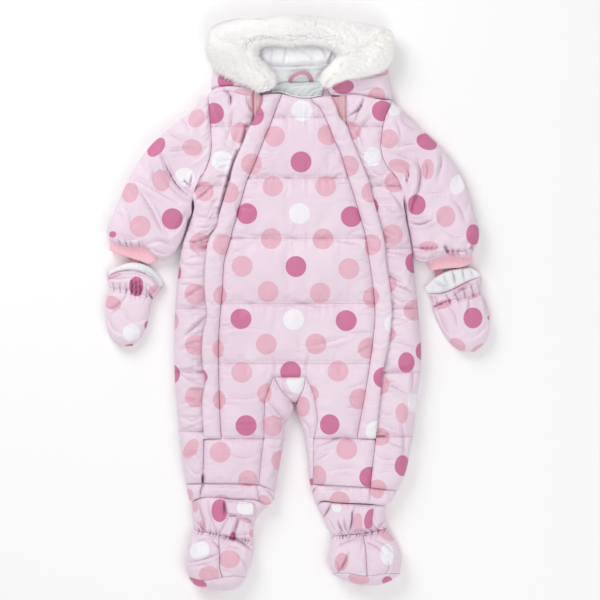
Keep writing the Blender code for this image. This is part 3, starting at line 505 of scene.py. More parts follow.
class Nodes:
    """A node tree in the making. add() makes one node, and gives the wire that leaves it."""

    def __init__(self, tree):
        self.tree = tree

    def add(self, kind, settings=(), inputs=(), output=0):
        node = self.tree.nodes.new(kind)
        for name, value in dict(settings).items():
            setattr(node, name, value)
        for name, value in dict(inputs).items():
            self.put(node.inputs[name], value)
        return Wire(self, node.outputs[output])

    def put(self, socket, value):
        if isinstance(value, Wire):
            self.tree.links.new(value.socket, socket)
        elif hasattr(socket.default_value, "__len__") and len(socket.default_value) == 4:
            socket.default_value = (*value, 1)
        else:
            socket.default_value = value


class Recipe(Nodes):
    def __init__(self, name):
        self.material = bpy.data.materials.new(name)
        self.material.use_nodes = True
        self.surface = self.material.node_tree.nodes["Principled BSDF"]
        super().__init__(self.material.node_tree)
        self.place = self.add("ShaderNodeTexCoord", output="Object")

    def blend(self, share, first, second):
        """A colour that goes from the first to the second."""
        return self.add("ShaderNodeMix", {"data_type": "RGBA"}, {0: share, 6: first, 7: second}, output=2)

    def noise(self, scale, detail=2.0, roughness=0.5):
        inputs = {"Vector": self.place, "Scale": scale, "Detail": detail, "Roughness": roughness}
        return self.add("ShaderNodeTexNoise", (), inputs)

    def waves(self, direction, scale, distortion):
        settings = {"wave_type": "BANDS", "bands_direction": direction}
        inputs = {"Vector": self.place, "Scale": scale, "Distortion": distortion, "Detail": 1}
        return self.add("ShaderNodeTexWave", settings, inputs)

    def tufts(self, scale):
        inputs = {"Vector": self.place, "Scale": scale}
        return self.add("ShaderNodeTexVoronoi", {"feature": "SMOOTH_F1"}, inputs)

    def bump(self, height, strength, distance, sunk=False, **normal):
        """The surface's direction over small bumps, with their strength and their height in mm."""
        inputs = {"Strength": strength, "Distance": distance * MM, "Height": height, **normal}
        return self.add("ShaderNodeBump", {"invert": sunk}, inputs)

    def parts(self, attribute):
        """The three numbers of an attribute that a piece's faces hold."""
        vector = self.add("ShaderNodeAttribute", {"attribute_name": attribute}, output="Vector")
        return [self.add("ShaderNodeSeparateXYZ", (), {0: vector}, output=axis) for axis in "XYZ"]

    def finish(self, **sockets):
        for name, value in sockets.items():
            self.put(self.surface.inputs[name.replace("_", " ")], value)
        return self.material


def dye(red, green, blue):
    """A colour named by its usual 0 to 255 shares, as the linear shares that light works with."""
    shares = np.array((red, green, blue)) / 255
    return tuple(np.where(shares < 0.04045, shares / 12.92, ((shares + 0.055) / 1.055) ** 2.4).tolist())


def printed_satin():
    """Pink polyester satin with its print of dots, crinkled and closely woven."""
    r = Recipe("printed_satin")
    edge, deep, white = r.parts("print")
    grain = r.noise(900, 2)
    dot = (edge + (grain - 0.5) * 0.8).between(0.35, -0.35)
    shade = r.noise(11, 3)
    ground = r.blend(shade.between(0.3, 0.7), dye(233, 211, 226), dye(240, 221, 234))
    ink = r.blend(deep.between(0.4, 0.6), dye(231, 182, 198), dye(207, 119, 158))
    ink = r.blend(white.between(0.4, 0.6), ink, dye(243, 241, 246))
    speck = r.noise(420, 3, 0.7)
    colour = r.blend(dot, ground, ink)
    colour = r.blend(speck.between(0.62, 0.85) * 0.16, colour, dye(180, 130, 165))
    # Painted shade along the bottoms of folds: mauve, and dark wine where a fold is deep.
    away, depth, _ = r.parts("fold")
    line = (away + (grain - 0.5) * 0.9).between(1.4, 0.1) * depth
    colour = r.blend(line.between(0, 1.6), colour, dye(174, 122, 156))
    colour = r.blend((line - 1.15).between(0, 0.6), colour, dye(104, 34, 76))
    weave = r.bump(r.waves("X", 420, 0.6) * 0.5 + r.waves("Y", 330, 0.6), 0.1, 0.12)
    crinkle = r.noise(120, 3, 0.55) * 0.6 + r.noise(45, 3, 0.6) - line * 1.4
    return r.finish(Base_Color=colour, Roughness=shade * 0.12 + 0.42, Specular_IOR_Level=0.35,
                    Sheen_Weight=0.25, Sheen_Roughness=0.35, Normal=r.bump(crinkle, 0.5, 0.9, Normal=weave))


satin = printed_satin()
columns = np.linspace(0, 1, 46)
blocks = [
    body_rows(0, LAST_ROW, lambda y: upright(SIDES[LEFT], y),
              lambda y: upright(CROTCH["gap_left"], np.minimum(y, GUSSET_POINT)), columns),
    body_rows(0, LAST_ROW, lambda y: upright(CROTCH["gap_right"], np.minimum(y, GUSSET_POINT)),
              lambda y: upright(SIDES[RIGHT], y), columns),
]
x, y = (np.hstack([left, (left[:, -1:] + right[:, :1]) / 2, right]) for left, right in zip(*blocks))
cells = np.ones((x.shape[0] - 1, x.shape[1] - 1), bool)
cells[CROTCH_ROW:, len(columns) - 1:len(columns) + 1] = False
away = to_quilting(y, BACK_QUILTS)
padding = (BACK_INSIDE - 0.6 * MM) * np.minimum(1, 1.1 * rounded(free_edge(x, y), EDGE_REACH))
padding *= 1 - 0.34 * (1 - np.minimum(1, 1.1 * rounded(away, 20 * MM)))
low = BACK_INSIDE - 0.6 * MM - padding
low += np.abs(puckers(x, away, 1.1 * MM, 13 * MM, seed=4.0))
low += 0.5 * MM * np.clip(uneven(x * 0.4 + y, 2.2), 0, 1) * (1 - rounded(free_edge(x, y), 60 * MM))
padded_wall("back_panel", "back", 0.6, x, y, BACK_INSIDE, np.maximum(low, LEAST_HEIGHT), satin, "shell",
            cells, print=[repeated(x, y, (286, 150), 0.05)])


# ---- middle of the front ----------------------------------------------------------------------
# One quilted panel from the neckline down both legs, of the same printed satin over wadding.
# Its sides are sewn to the flaps, and it is cut round the gusset between the legs.

FLAP_LINES = {
    "seam_left": (
        (282, 95), (278, 104), (275, 112), (271, 123), (268, 131), (264, 140), (260, 150), (257, 158),
        (251, 172), (247, 181), (244, 191), (241, 202), (238, 212), (236, 220), (233, 229), (230.5, 240),
        (224.7, 260), (222.7, 288), (219.7, 323), (218.6, 346), (219, 379), (221.4, 437), (226, 485),
    ),
    "edge_left": (
        (263, 95), (262, 105), (258, 112), (253, 122), (250, 127), (247, 133), (243, 144), (238, 155),
        (235, 162), (232, 172), (230, 182), (227, 190), (224, 200), (221, 210), (219, 218), (217, 227),
        (211.5, 235), (205.7, 263), (205.3, 296), (207.3, 316), (204, 329.5), (204, 371), (205.7, 379),
        (203, 396), (204, 436), (203, 485),
    ),
    "seam_right": (
        (310, 95), (312, 101), (320, 109), (325, 118), (329, 127), (334, 140), (340, 152), (344, 165),
        (348, 178), (352, 190), (356, 203), (360, 217), (364, 230), (369, 260), (373, 288), (374.8, 313),
        (372, 346), (367.3, 379), (363, 404), (357, 437), (354, 485),
    ),
    "edge_right": (
        (330, 95), (336, 107), (340, 118), (346, 125), (350, 135), (355, 148), (360, 160), (365, 172),
        (369, 182), (372, 195), (376, 210), (380, 224), (384, 240), (385.6, 260), (389.7, 288),
        (391.4, 313), (389, 338), (383, 369), (379.8, 396), (375.6, 437), (370, 485),
    ),
}
FRONT_QUILTS = (260, 175, 91, 0, -84, -189)
# What is left of the padding at an edge, and how much of it rows of quilting, ends and seams take away
LEAST_PADDING, QUILT_DRAW, END_DRAW, SEAM_DRAW = 0.8 * MM, 0.36, 0.42, 0.34
END_REACH, SEAM_REACH = 14 * MM, 13 * MM
# A dot is its place on the chart, across and down, and where the cloth tilts its half width and half
# height in squares and its turn. A crease is its path, across and down, then its depth and its width.
# Every crease also has shade painted along its bottom: mauve, and dark wine where it is deep.
FRONT_DOTS = {
    WHITE: ((301.5, 111.5), (299.5, 214), (293.5, 319.6)),
    DEEP: (
        (301, 162.5), (247, 214), (351, 217), (296, 266.8), (241.3, 318.7), (346, 320.4), (290.7, 371.5),
        (246.3, 425), (329.5, 424, 9.8, 10.3), (369.4, 476.5),
    ),
    PALE: (
        (274.7, 137), (327.6, 135.7), (251.7, 164.6), (272.7, 186.7), (325.6, 186.7), (271.2, 239),
        (322.9, 239.5), (242.6, 266.5), (348.6, 269), (268.2, 291.7), (320, 293), (216.7, 295.5),
        (372.9, 297.4), (374.8, 246.5), (266.5, 344), (316, 343.6), (367.9, 348.3), (214.2, 348.5),
        (242, 372), (337.8, 371), (216, 399.5), (267.5, 393.3), (359.2, 398.6), (309, 393.5, 9.5, 9.2),
        (220.6, 451.6), (248, 479, 9.7, 9.6), (346.6, 448.5), (317.6, 476, 9, 11),
    ),
}
FRONT_CREASES = (
    (335, 241, 350, 243, 362, 245, 1.6, 3.0),
    (262, 304, 285, 306, 301, 303, 322, 308, 345, 305, 1.2, 3.2),
    (337, 331, 352, 331.5, 367, 333, 1.5, 3.0), (300, 345, 315, 344, 330, 341, 348, 336, 1.6, 3.4),
    (252, 178, 275, 176, 300, 179, 0.8, 2.6), (236, 232, 260, 237, 290, 238, 0.7, 3.0),
    (315, 447, 330, 441, 342, 436, 352, 439, 2.0, 3.2), (315, 460, 330, 452, 1.5, 3.0),
    (222, 330, 240, 326, 262, 329, 0.9, 3.4), (300, 196, 318, 200, 338, 198, 0.5, 3.4),
    (228, 395, 246, 399, 262, 394, 1.3, 3.2), (306, 383, 299, 392, 1.4, 2.4),
    (226, 452, 243, 458, 256, 455, 1.3, 3.2), (330, 470, 348, 466, 362, 471, 1.2, 3.2),
    (270, 352, 276, 364, 275, 374, 1.1, 3.0), (310, 352, 306, 364, 307, 374, 1.1, 3.0),
    (236, 424, 247, 425, 256, 423.6, 1.7, 1.7), (203.6, 474, 203.8, 480, 203.4, 484, 4.6, 1.7),
)


def flap_line(name, y):
    line = chart(*FLAP_LINES[name])
    return smooth(line[:, 1], line[:, 0], y)


def front_height(x, y, quilts):
    """The upper face of the front before it is drawn in at its seams: crowned, quilted and hemmed."""
    crown = (FRONT_CROWN - FRONT_INSIDE - LEAST_PADDING) * rounded(free_edge(x, y), EDGE_REACH)
    away = to_quilting(y, quilts)
    padding = (LEAST_PADDING + crown) * (1 - QUILT_DRAW * (1 - rounded(away, QUILT_REACH)))
    ends = rounded(level(TOP_EDGE, x) + 2 * MM - y, END_REACH)
    ends = ends * rounded(y - level(HEM_EDGE, x) + 2 * MM, END_REACH)
    z = FRONT_INSIDE + padding * (1 - END_DRAW * (1 - ends))
    return z + puckers(x, away, 0.9 * MM, 12 * MM, seed=1.0)


def drawn_in(z, away, run, seed=0.0):
    """Draws padding down to a seam beside it, with the puckers that the seam makes."""
    z = FRONT_INSIDE + (z - FRONT_INSIDE) * (1 - SEAM_DRAW * (1 - rounded(away, SEAM_REACH)))
    return z + puckers(run, away, 0.7 * MM, 9 * MM, seed)


def spaced(width):
    """Column shares of a strip about this wide."""
    return np.linspace(0, 1, max(4, int(round(width / ROW_STEP)) + 1))


def in_blocks(*blocks):
    """Joins column blocks that share their edge columns. Each has its grid and the rows it is there for."""
    xs, ys, cells = [], [], []
    for number, (x, y, there) in enumerate(blocks):
        first = 1 if number else 0
        xs.append(x[:, first:])
        ys.append(y[:, first:])
        mask = np.zeros((x.shape[0] - 1, x.shape[1] - 1), bool)
        mask[there] = True
        cells.append(mask)
    return np.hstack(xs), np.hstack(ys), np.hstack(cells)


def edge_nodes(cells):
    """The grid points on the border of the cells that are there, and those that no cell has."""
    filled = np.pad(cells, 1).astype(int)
    count = filled[1:, 1:] + filled[:-1, 1:] + filled[1:, :-1] + filled[:-1, :-1]
    return count < 4


def padded_piece(node, x, y, top, low, dots, cells=None, quilted=False, below=None, creases=(),
                 growth=0.014, cap=3.5 * MM):
    """A piece of padded cloth over a grid. Its upper face settles between the seams that hold it.

    dots is the print on its upper face, and below is where the print of its underside starts and turns.
    """
    low = low + 0 * x
    cells = np.ones((x.shape[0] - 1, x.shape[1] - 1), bool) if cells is None else cells
    held = edge_nodes(cells) | quilted
    top = creased(x, y, top, creases)
    sx, sy, sz = settled((x, y, top), held, growth, cap)
    x, y, sx, sy, sz, low = doubled(x, y, sx, sy, sz, low)
    prints = [charted(x, y, dots)] + ([repeated(x, y, *below)] if below else [])
    cells = np.repeat(np.repeat(cells, 2, axis=0), 2, axis=1)
    sz = np.maximum(sz, low + 0.3 * MM)
    # Painted shade along the bottoms of its folds, on the upper face only.
    folds = fold_shade_lines(x, y, creases)
    made[node] = padded_wall(node + "_cloth", node, 0.6, sx, sy, sz, low, satin, "shell", cells,
                             print=prints, fold=[folds, folds * (1, 0, 1)])


made = {}  # the pieces of padded cloth by their node


def gusset_split(which, y):
    """Where the middle block of the front ends: on the gusset, and above it at a fixed share."""
    share = {"left": 0.36, "right": 0.58}[which]
    trunk = flap_line("seam_left", y) + share * (flap_line("seam_right", y) - flap_line("seam_left", y))
    return np.where(y > -102.9 * MM, trunk, upright(CROTCH["seam_" + which], y))


front_blocks = (
    ("edge_left", "seam_left", np.s_[FLAP_END_ROW:], 28 * MM),
    ("seam_left", "left", np.s_[:], 74 * MM),
    ("left", "right", np.s_[:GUSSET_ROW], 46 * MM),
    ("right", "seam_right", np.s_[:], 80 * MM),
    ("seam_right", "edge_right", np.s_[FLAP_END_ROW:], 28 * MM),
)


def front_edge(name):
    if name in FLAP_LINES:
        return lambda y: flap_line(name, y)
    return lambda y: gusset_split(name, y)


x, y, cells = in_blocks(*(
    (*body_rows(0, LAST_ROW, front_edge(first), front_edge(last), spaced(width)), there)
    for first, last, there, width in front_blocks
))
above_end = y > FLAP_END
left_seam = np.where(above_end, flap_line("seam_left", y), flap_line("edge_left", y))
right_seam = np.where(above_end, flap_line("seam_right", y), flap_line("edge_right", y))
away = np.minimum(x - left_seam, right_seam - x)
gusset_seams = (CROTCH["seam_left"], CROTCH["seam_right"], GUSSET_TOP)
seams = [to_line(x, y, np.array(line) * MM)[0] for line in gusset_seams]
away = np.minimum.reduce([np.maximum(away, 0), *seams])
z = drawn_in(front_height(x, y, FRONT_QUILTS), away, y, 2.0)
wrinkles = seam_wrinkles(lambda y: flap_line("seam_left", y), 1, (120, 430), 13, 17, 3)
wrinkles += seam_wrinkles(lambda y: flap_line("seam_right", y), -1, (120, 430), 13, 17, 4)
padded_piece("front_centre", x, y, z, FRONT_INSIDE, FRONT_DOTS, cells,
             to_quilting(y, FRONT_QUILTS) < HELD_BESIDE,
             creases=FRONT_CREASES + quilt_folds(FRONT_QUILTS, 200, 395) + wrinkles)


# ---- crotch -----------------------------------------------------------------------------------
# A small gusset between the legs, and a narrow inside-leg panel down each leg from it.
# They are of the same padded satin, sewn to the middle of the front and to each other.

GUSSET_DOTS = {WHITE: ((298, 380.5, 11, 13),)}
CROTCH_PIECES = (
    ("crotch_gusset", "gap_left", "gap_right", CROTCH_ROW, 30 * MM),
    ("inner_leg_left", "seam_left", "gap_left", LAST_ROW, 34 * MM),
    ("inner_leg_right", "gap_right", "seam_right", LAST_ROW, 24 * MM),
)
LEG_DOTS = {
    DEEP: ((311.5, 486, 4, 8),),
    PALE: ((261.6, 393.3), (302.6, 406, 7.4, 10.3), (272.6, 425.4), (281.6, 460)),
}
CROTCH_CREASES = (
    (268, 401, 277, 411, 286, 422, 2.6, 2.6), (284, 380, 283, 388, 287, 396, 1.2, 2.4),
    (269, 412, 279, 420, 286, 417, 1.4, 2.6), (303, 420, 309, 428, 311, 437, 1.4, 2.6),
    (266, 444, 276, 448, 282, 445, 1.2, 2.6),
)

for node, first, last, last_row, width in CROTCH_PIECES:
    shift = 0.2 * MM
    x, y = body_rows(GUSSET_ROW, last_row, lambda y: upright(CROTCH[first], y) + shift,
                     lambda y: upright(CROTCH[last], y) - shift, spaced(width))
    sewn = [CROTCH[line] if "seam" in line else CROTCH[line][:3] for line in (first, last)]
    seams = [to_line(x, y, np.array(line) * MM)[0] for line in (*sewn, GUSSET_TOP)]
    z = drawn_in(front_height(x, y, FRONT_QUILTS), np.minimum.reduce(seams), y, 3.0)
    dots = GUSSET_DOTS if node == "crotch_gusset" else LEG_DOTS
    padded_piece(node, x, y, z, FRONT_INSIDE, dots, creases=CROTCH_CREASES)


# ---- side fronts ------------------------------------------------------------------------------
# A quilted panel down each side, from the hood seam and the armhole to the leg hem.
# Its inner edge goes under the flap, where the zip is sewn to it.

FLAP_TUCK = 6 * MM
ZIP_SHOWS_TO, ZIP_FOLD = {LEFT: 62 * MM, RIGHT: 68 * MM}, 7 * MM
SIDE_QUILTS = {LEFT: (247, 164, 77, -7, -96, -179), RIGHT: (247, 164, 77, -7, -96, -186)}
SIDE_DOTS = {
    LEFT: {
        WHITE: ((222, 161),),
        DEEP: ((214, 114), (171, 272), (170, 374)),
        PALE: (
            (241, 133.5), (204.5, 191.5, 9.5, 10.2, 20), (200, 243, 10.6, 9.6, 12), (195.5, 294),
            (169, 321), (196, 345), (196, 396.5), (191.2, 448.4, 11, 6.5, 60), (245, 93, 11, 2.9, -9),
            (251.5, 104, 3.6, 9),
        ),
    },
    RIGHT: {
        WHITE: ((372.2, 157.3, 8.4, 9.8), (414.5, 403, 7.2, 9.6, 12)),
        DEEP: (
            (382, 111.5), (368, 207.5), (414.5, 262.8, 9.8, 10.2), (405.9, 362.3, 8.1, 10.3),
            (424.5, 351, 9.6, 9.8), (401.8, 465, 7.5, 10.4),
        ),
        PALE: (
            (351, 131.5, 9.9, 9.5), (394.5, 182.5), (392, 235), (386, 284, 10.5, 9), (413.5, 310.4),
            (385.5, 334, 10.2, 8), (401.3, 412.8, 6.4, 10), (378.8, 384.5), (379.8, 436.5, 9.8, 8.6),
            (377, 488.4, 9.5, 9.5),
        ),
    },
}
SIDE_CREASES = {
    LEFT: (
        (226, 91, 231, 97, 231, 105, 4.6, 2.6),
        (213, 95, 221, 91.5, 233, 92.5, 246, 96, 256, 97, 2.2, 1.6),
        (247, 95, 247, 103, 252, 111, 1.8, 2.4), (246, 126, 245, 134, 242, 143, 3.0, 2.4),
        (213, 104, 222, 118, 226, 132, 1.4, 4.0), (233, 112, 231, 128, 226, 142, 1.6, 3.6),
        (213, 187, 206, 192, 197, 200, 2.6, 1.7), (209, 186, 203, 189, 198, 193, 1.2, 1.4),
        (238, 152, 231, 168, 226, 190, 219, 214, 3.8, 2.4), (191.5, 243.6, 200, 241, 212, 237, 2.8, 1.5),
        (193, 246.6, 200, 243.8, 209, 241.8, 1.8, 1.3), (190, 247, 200, 255, 208, 258, 1.2, 3.2),
        (203, 288, 195, 291, 184, 299, 1.6, 3.2), (176, 307, 188, 310, 203, 306, 1.2, 3.4),
        (205, 318, 196, 326, 186, 335, 2.4, 3.2), (178, 350, 190, 346, 202, 351, 1.6, 3.2),
        (178, 372, 190, 379, 203, 385, 1.8, 3.2), (180, 404, 190, 400, 201, 403, 1.6, 3.2),
        (184, 418, 194, 421, 202, 416, 1.4, 3.2), (186, 456, 194, 452, 201, 457, 1.6, 3.0),
        (192, 470, 197, 474, 202, 470, 1.6, 2.6), (221, 143, 232, 150, 238, 148, 1.0, 3.0),
        (208, 214, 213, 204, 219, 199, 1.2, 3.0), (181, 262, 189, 268, 199, 268, 1.2, 3.0),
        (202.4, 474, 202.6, 480, 202.4, 484, 4.6, 1.7),
    ),
    RIGHT: (
        (363.5, 99, 361.6, 105, 357, 111, 350, 116, 3.6, 1.8), (360, 105, 357, 114, 356, 122, 1.8, 2.6),
        (370, 118, 362, 126, 356, 140, 1.4, 3.6), (352, 128, 360, 136, 364, 148, 1.4, 3.2),
        (371, 170, 380, 176, 388, 173, 1.6, 3.2), (392, 194, 398, 202, 403, 210, 1.8, 3.0),
        (384, 207, 392, 213, 402, 212, 1.2, 3.2), (386, 252, 398, 254, 410, 256, 1.6, 3.0),
        (387, 275, 394, 279, 402, 283, 3.0, 3.0), (393, 284, 402, 287, 413, 292, 2.6, 2.8),
        (393, 297, 401, 302, 413, 300, 1.4, 3.0), (390, 341, 402, 343, 416, 347, 1.6, 3.0),
        (386, 380, 395, 388, 408, 394, 2.2, 3.2), (384, 369, 398, 371, 414, 368, 1.6, 3.0),
        (412, 365, 412.5, 378, 411, 392, 1.6, 3.0), (388, 441, 396, 445, 406, 449, 2.0, 3.0),
        (376, 455, 388, 459, 398, 457, 1.6, 3.2), (378, 473, 386, 470.5, 394, 471, 1.2, 3.0),
        (374, 432.5, 381, 431, 389, 434, 1.8, 1.4), (374, 436.5, 382, 435.4, 390, 438, 1.5, 1.3),
        (401, 424, 404, 440, 402, 458, 1.6, 3.2), (386, 320, 396, 317, 408, 322, 1.2, 3.2),
    ),
}


def flap_edge(which, y):
    """How far out from the middle of the suit a flap's loose edge is."""
    return which * flap_line("edge_" + NAMES[which], y)


def under_flap(which, y):
    return which * np.maximum(flap_edge(which, y) - FLAP_TUCK, ZIP_SHOWS_TO[which])


for which in (LEFT, RIGHT):

    def turned_in(y):
        return which * np.maximum(flap_edge(which, y) + 0.4 * MM, which * under_flap(which, y) + 4 * MM)

    outer = (lambda y: upright(SIDES[which], y), turned_in, np.s_[:], 58 * MM)
    inner = (turned_in, lambda y: under_flap(which, y), np.s_[:FLAP_END_ROW], 7 * MM)
    x, y, cells = in_blocks(*(
        (*body_rows(0, LAST_ROW, first, last, spaced(width)), there)
        for first, last, there, width in (outer, inner)
    ))
    beyond = which * x - flap_edge(which, y)
    armhole = to_line(x, y, np.array([p for p in SIDES[which] if p[1] > 160]) * MM)[0]
    leg_seam = np.where(y < FLAP_END, np.abs(beyond), 1)
    z = drawn_in(front_height(x, y, SIDE_QUILTS[which]), np.minimum(armhole, leg_seam), y, 5.0 + which)
    tucks = np.exp(-(np.maximum(beyond, 0) / (10 * MM)) ** 1.4) * np.clip((y + 191 * MM) / (14 * MM), 0, 1)
    flap_there = np.minimum(front_height(x, y, FRONT_QUILTS), z + 1.5 * MM)
    z = z - 1.2 * MM * tucks + (flap_there - 4.4 * MM - z) * tucks
    beside_zip = rounded(which * x - ZIP_SHOWS_TO[which], ZIP_FOLD)
    z = FRONT_INSIDE + (z - FRONT_INSIDE) * (0.72 + 0.28 * beside_zip)
    quilted = (to_quilting(y, SIDE_QUILTS[which]) < HELD_BESIDE) | (beyond < 2 * MM)
    folds = quilt_folds(SIDE_QUILTS[which], *sorted((300 + which * 130, 300 + which * 45)))
    folds += seam_wrinkles(lambda y: flap_line("edge_" + NAMES[which], y), which, (150, 425), 7, 24,
                           8 + which)
    padded_piece("side_front_" + NAMES[which], x, y, z, FRONT_INSIDE, SIDE_DOTS[which], cells, quilted,
                 creases=SIDE_CREASES[which] + folds)


# ---- flaps and zips ---------------------------------------------------------------------------
# A long lightly padded flap of the printed satin lies over each zip. One long side and the lower
# end are sewn down, and the other side is loose. The zip's woven tape and coil show at the neck.

FLAP_WALL, FLAP_RISE = 5 * MM, 1.8 * MM
ZIP_WIDTH, TAPE_WALL, TOOTH_PITCH = 22 * MM, 0.8 * MM, 2.4 * MM
FLAP_DOTS = {
    LEFT: {
        DEEP: ((253.8, 116), (247, 214), (199.5, 376.5, 8.4, 8)),
        PALE: (
            (274.7, 137), (251.7, 164.6), (229, 193), (223.4, 245), (224, 295.5), (223, 348.5),
            (223.3, 399.5),
        ),
    },
    RIGHT: {
        WHITE: ((394.4, 323.5), (374.6, 430.5, 9.3, 10)),
        DEEP: ((383.5, 377.3),),
        PALE: ((348.5, 166.3), (371.5, 193), (370.5, 245), (368.6, 297.4), (362.7, 348.3)),
    },
}
FLAP_CREASES = {
    LEFT: (
        (262, 112, 266, 118, 270, 120, 0.5, 2.4), (250, 136, 256, 141, 263, 139, 0.5, 2.6),
        (235, 166, 242, 172, 249, 171, 0.6, 2.6), (229, 187, 236, 190, 244, 186, 0.7, 2.6),
        (222, 206, 229, 213, 237, 213, 0.5, 2.6), (213, 235, 221, 238, 229, 236, 0.7, 2.6),
        (206, 268, 214, 272, 222, 269, 0.5, 2.6), (207, 300, 213, 305, 221, 303, 0.7, 2.6),
        (206, 316, 212, 318, 219, 317, 1.2, 2.4), (205, 346, 212, 343, 219, 347, 0.6, 2.6),
        (205, 371, 211, 374, 218, 372, 0.7, 2.6), (204, 398, 211, 402, 219, 399, 0.6, 2.6),
        (205, 421, 212, 418, 220, 422, 0.6, 2.6),
    ),
    RIGHT: (
        (318, 107, 326, 112, 337, 110, 0.5, 2.4), (334, 138, 342, 142, 351, 138, 0.5, 2.6),
        (347, 170, 355, 175, 363, 172, 0.6, 2.6), (354, 196, 362, 200, 371, 196, 0.6, 2.6),
        (362, 222, 370, 227, 379, 224, 0.7, 2.6), (368, 249, 376, 252, 385, 249, 0.6, 2.6),
        (373, 281, 381, 285, 389, 281, 0.7, 2.6), (375, 309, 383, 312, 390, 308, 0.7, 2.6),
        (373, 342, 381, 345, 388, 341, 0.8, 2.6), (369, 368, 376, 371, 383, 367, 0.7, 2.6),
        (364, 401, 372, 405, 379, 402, 0.6, 2.6), (360, 421, 368, 424, 376, 420, 0.6, 2.6),
    ),
}


def woven_tape(name, light, dark):
    """A narrow twill tape of dusky pink, with a thread now paler and now darker."""
    r = Recipe(name)
    twill = r.waves("DIAGONAL", 260, 0.4)
    cloudy = r.noise(60, 3)
    colour = r.blend(twill * 0.5 + cloudy * 0.4, dark, light)
    return r.finish(Base_Color=colour, Roughness=cloudy * 0.1 + 0.7, Sheen_Weight=0.3,
                    Normal=r.bump(twill, 0.5, 0.2))


def zip_plastic():
    """Moulded nylon zip coil, pale pink and slightly glossy."""
    r = Recipe("zip_coil")
    cloudy = r.noise(240, 2)
    colour = r.blend(cloudy, dye(240, 208, 212), dye(250, 232, 232))
    return r.finish(Base_Color=colour, Roughness=cloudy * 0.15 + 0.3, Coat_Weight=0.2)


class Maker(Nodes):
    """Geometry Nodes in the making, with named inputs beside the geometry. run() applies them once."""

    def __init__(self, name, **inputs):
        super().__init__(bpy.data.node_groups.new(name, "GeometryNodeTree"))
        for label, kind in {"Start": "Geometry", **inputs}.items():
            self.tree.interface.new_socket(label, in_out="INPUT", socket_type="NodeSocket" + kind)
        self.tree.interface.new_socket("Result", in_out="OUTPUT", socket_type="NodeSocketGeometry")
        self.given = self.tree.nodes.new("NodeGroupInput")

    def __getitem__(self, label):
        return Wire(self, self.given.outputs[label])

    def aimed(self, first, at, second, towards, turn):
        """The rotation that points one axis at a vector, a second one towards another, and turns on Z."""
        facing = self.add("FunctionNodeAlignEulerToVector", {"axis": first}, {"Vector": at})
        facing = self.add("FunctionNodeAlignEulerToVector", {"axis": second, "pivot_axis": first},
                          {"Rotation": facing, "Vector": towards})
        spin = self.add("ShaderNodeCombineXYZ", (), {"Z": turn})
        return self.add("FunctionNodeRotateEuler", {"space": "LOCAL"},
                        {"Rotation": facing, "Rotate By": spin})

    def run(self, result, guide, slot, **values):
        """Makes the guide object the plain mesh that the tree builds from it."""
        result = self.add("GeometryNodeRealizeInstances", (), {0: result})
        result = self.add("GeometryNodeSetMaterial", (), {"Geometry": result, "Material": self["Finish"]})
        self.put(self.tree.nodes.new("NodeGroupOutput").inputs["Result"], result)
        maker = guide.modifiers.new("made", "NODES")
        maker.node_group = self.tree
        for item in self.tree.interface.items_tree:
            if item.name in values:
                maker[item.identifier] = values[item.name]
        bpy.context.view_layer.update()
        mesh = bpy.data.meshes.new_from_object(guide.evaluated_get(bpy.context.evaluated_depsgraph_get()))
        guide.modifiers.clear()
        guide.data = mesh
        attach(guide, "root")
        return guide


def repeated_along(name, lines, unit, pitch, material, slot, turn=0.0):
    """A small shape repeated along lines on the suit, by Geometry Nodes, as one plain mesh.

    The shape lies along +X with its top towards +Z, and turn is its angle to the line.
    """
    points, edges = [], []
    for line in lines:
        edges += [(len(points) + k, len(points) + k + 1) for k in range(len(line) - 1)]
        points += [tuple(p) for p in line]
    guide = loose(name, points, [], edges)
    m = Maker(name, Pitch="Float", Turn="Float", Unit="Object", Finish="Material")
    curve = m.add("GeometryNodeMeshToCurve", (), {0: m["Start"]})
    spots = m.add("GeometryNodeResampleCurve", {"mode": "LENGTH"}, {"Curve": curve, "Length": m["Pitch"]})
    turned = m.aimed("X", m.add("GeometryNodeInputTangent"), "Z", (0, 0, 1), m["Turn"])
    shape = m.add("GeometryNodeObjectInfo", (), {"Object": m["Unit"]}, "Geometry")
    placed = m.add("GeometryNodeInstanceOnPoints", (),
                   {"Points": spots, "Instance": shape, "Rotation": turned})
    shape_object = loose(name + "_unit", *unit)
    m.run(placed, guide, slot, Pitch=pitch, Turn=turn, Unit=shape_object, Finish=material)
    bpy.data.objects.remove(shape_object)
    return guide


def rod(length, width, height, sides=6, rings=(0, 0.18, 0.5, 0.82, 1), swell=(0.1, 0.8, 1, 0.8, 0.1)):
    """A small round-ended rod along +X, as vertices and faces."""
    vertices, faces = [], []
    for t, r in zip(rings, swell):
        for k in range(sides):
            a = 2 * np.pi * k / sides
            vertices.append(((t - 0.5) * length, np.cos(a) * width / 2 * r, np.sin(a) * height / 2 * r))
    for ring in range(len(rings) - 1):
        for k in range(sides):
            a, b = ring * sides + k, ring * sides + (k + 1) % sides
            faces.append((a, a + sides, b + sides, b))
    faces.append(tuple(range(sides)))
    faces.append(tuple(range(len(vertices) - 1, len(vertices) - 1 - sides, -1)))
    return vertices, faces


def sheet_of(name, node, x, y, top, low, material, slot, flat, rests_on, held="laid", **faces_hold):
    """A thin piece of cloth, which stands for a CAD node if it names one."""
    piece = wall(name, x, y, top, low, material, slot, **faces_hold)
    if node:
        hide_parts(node)
    return piece


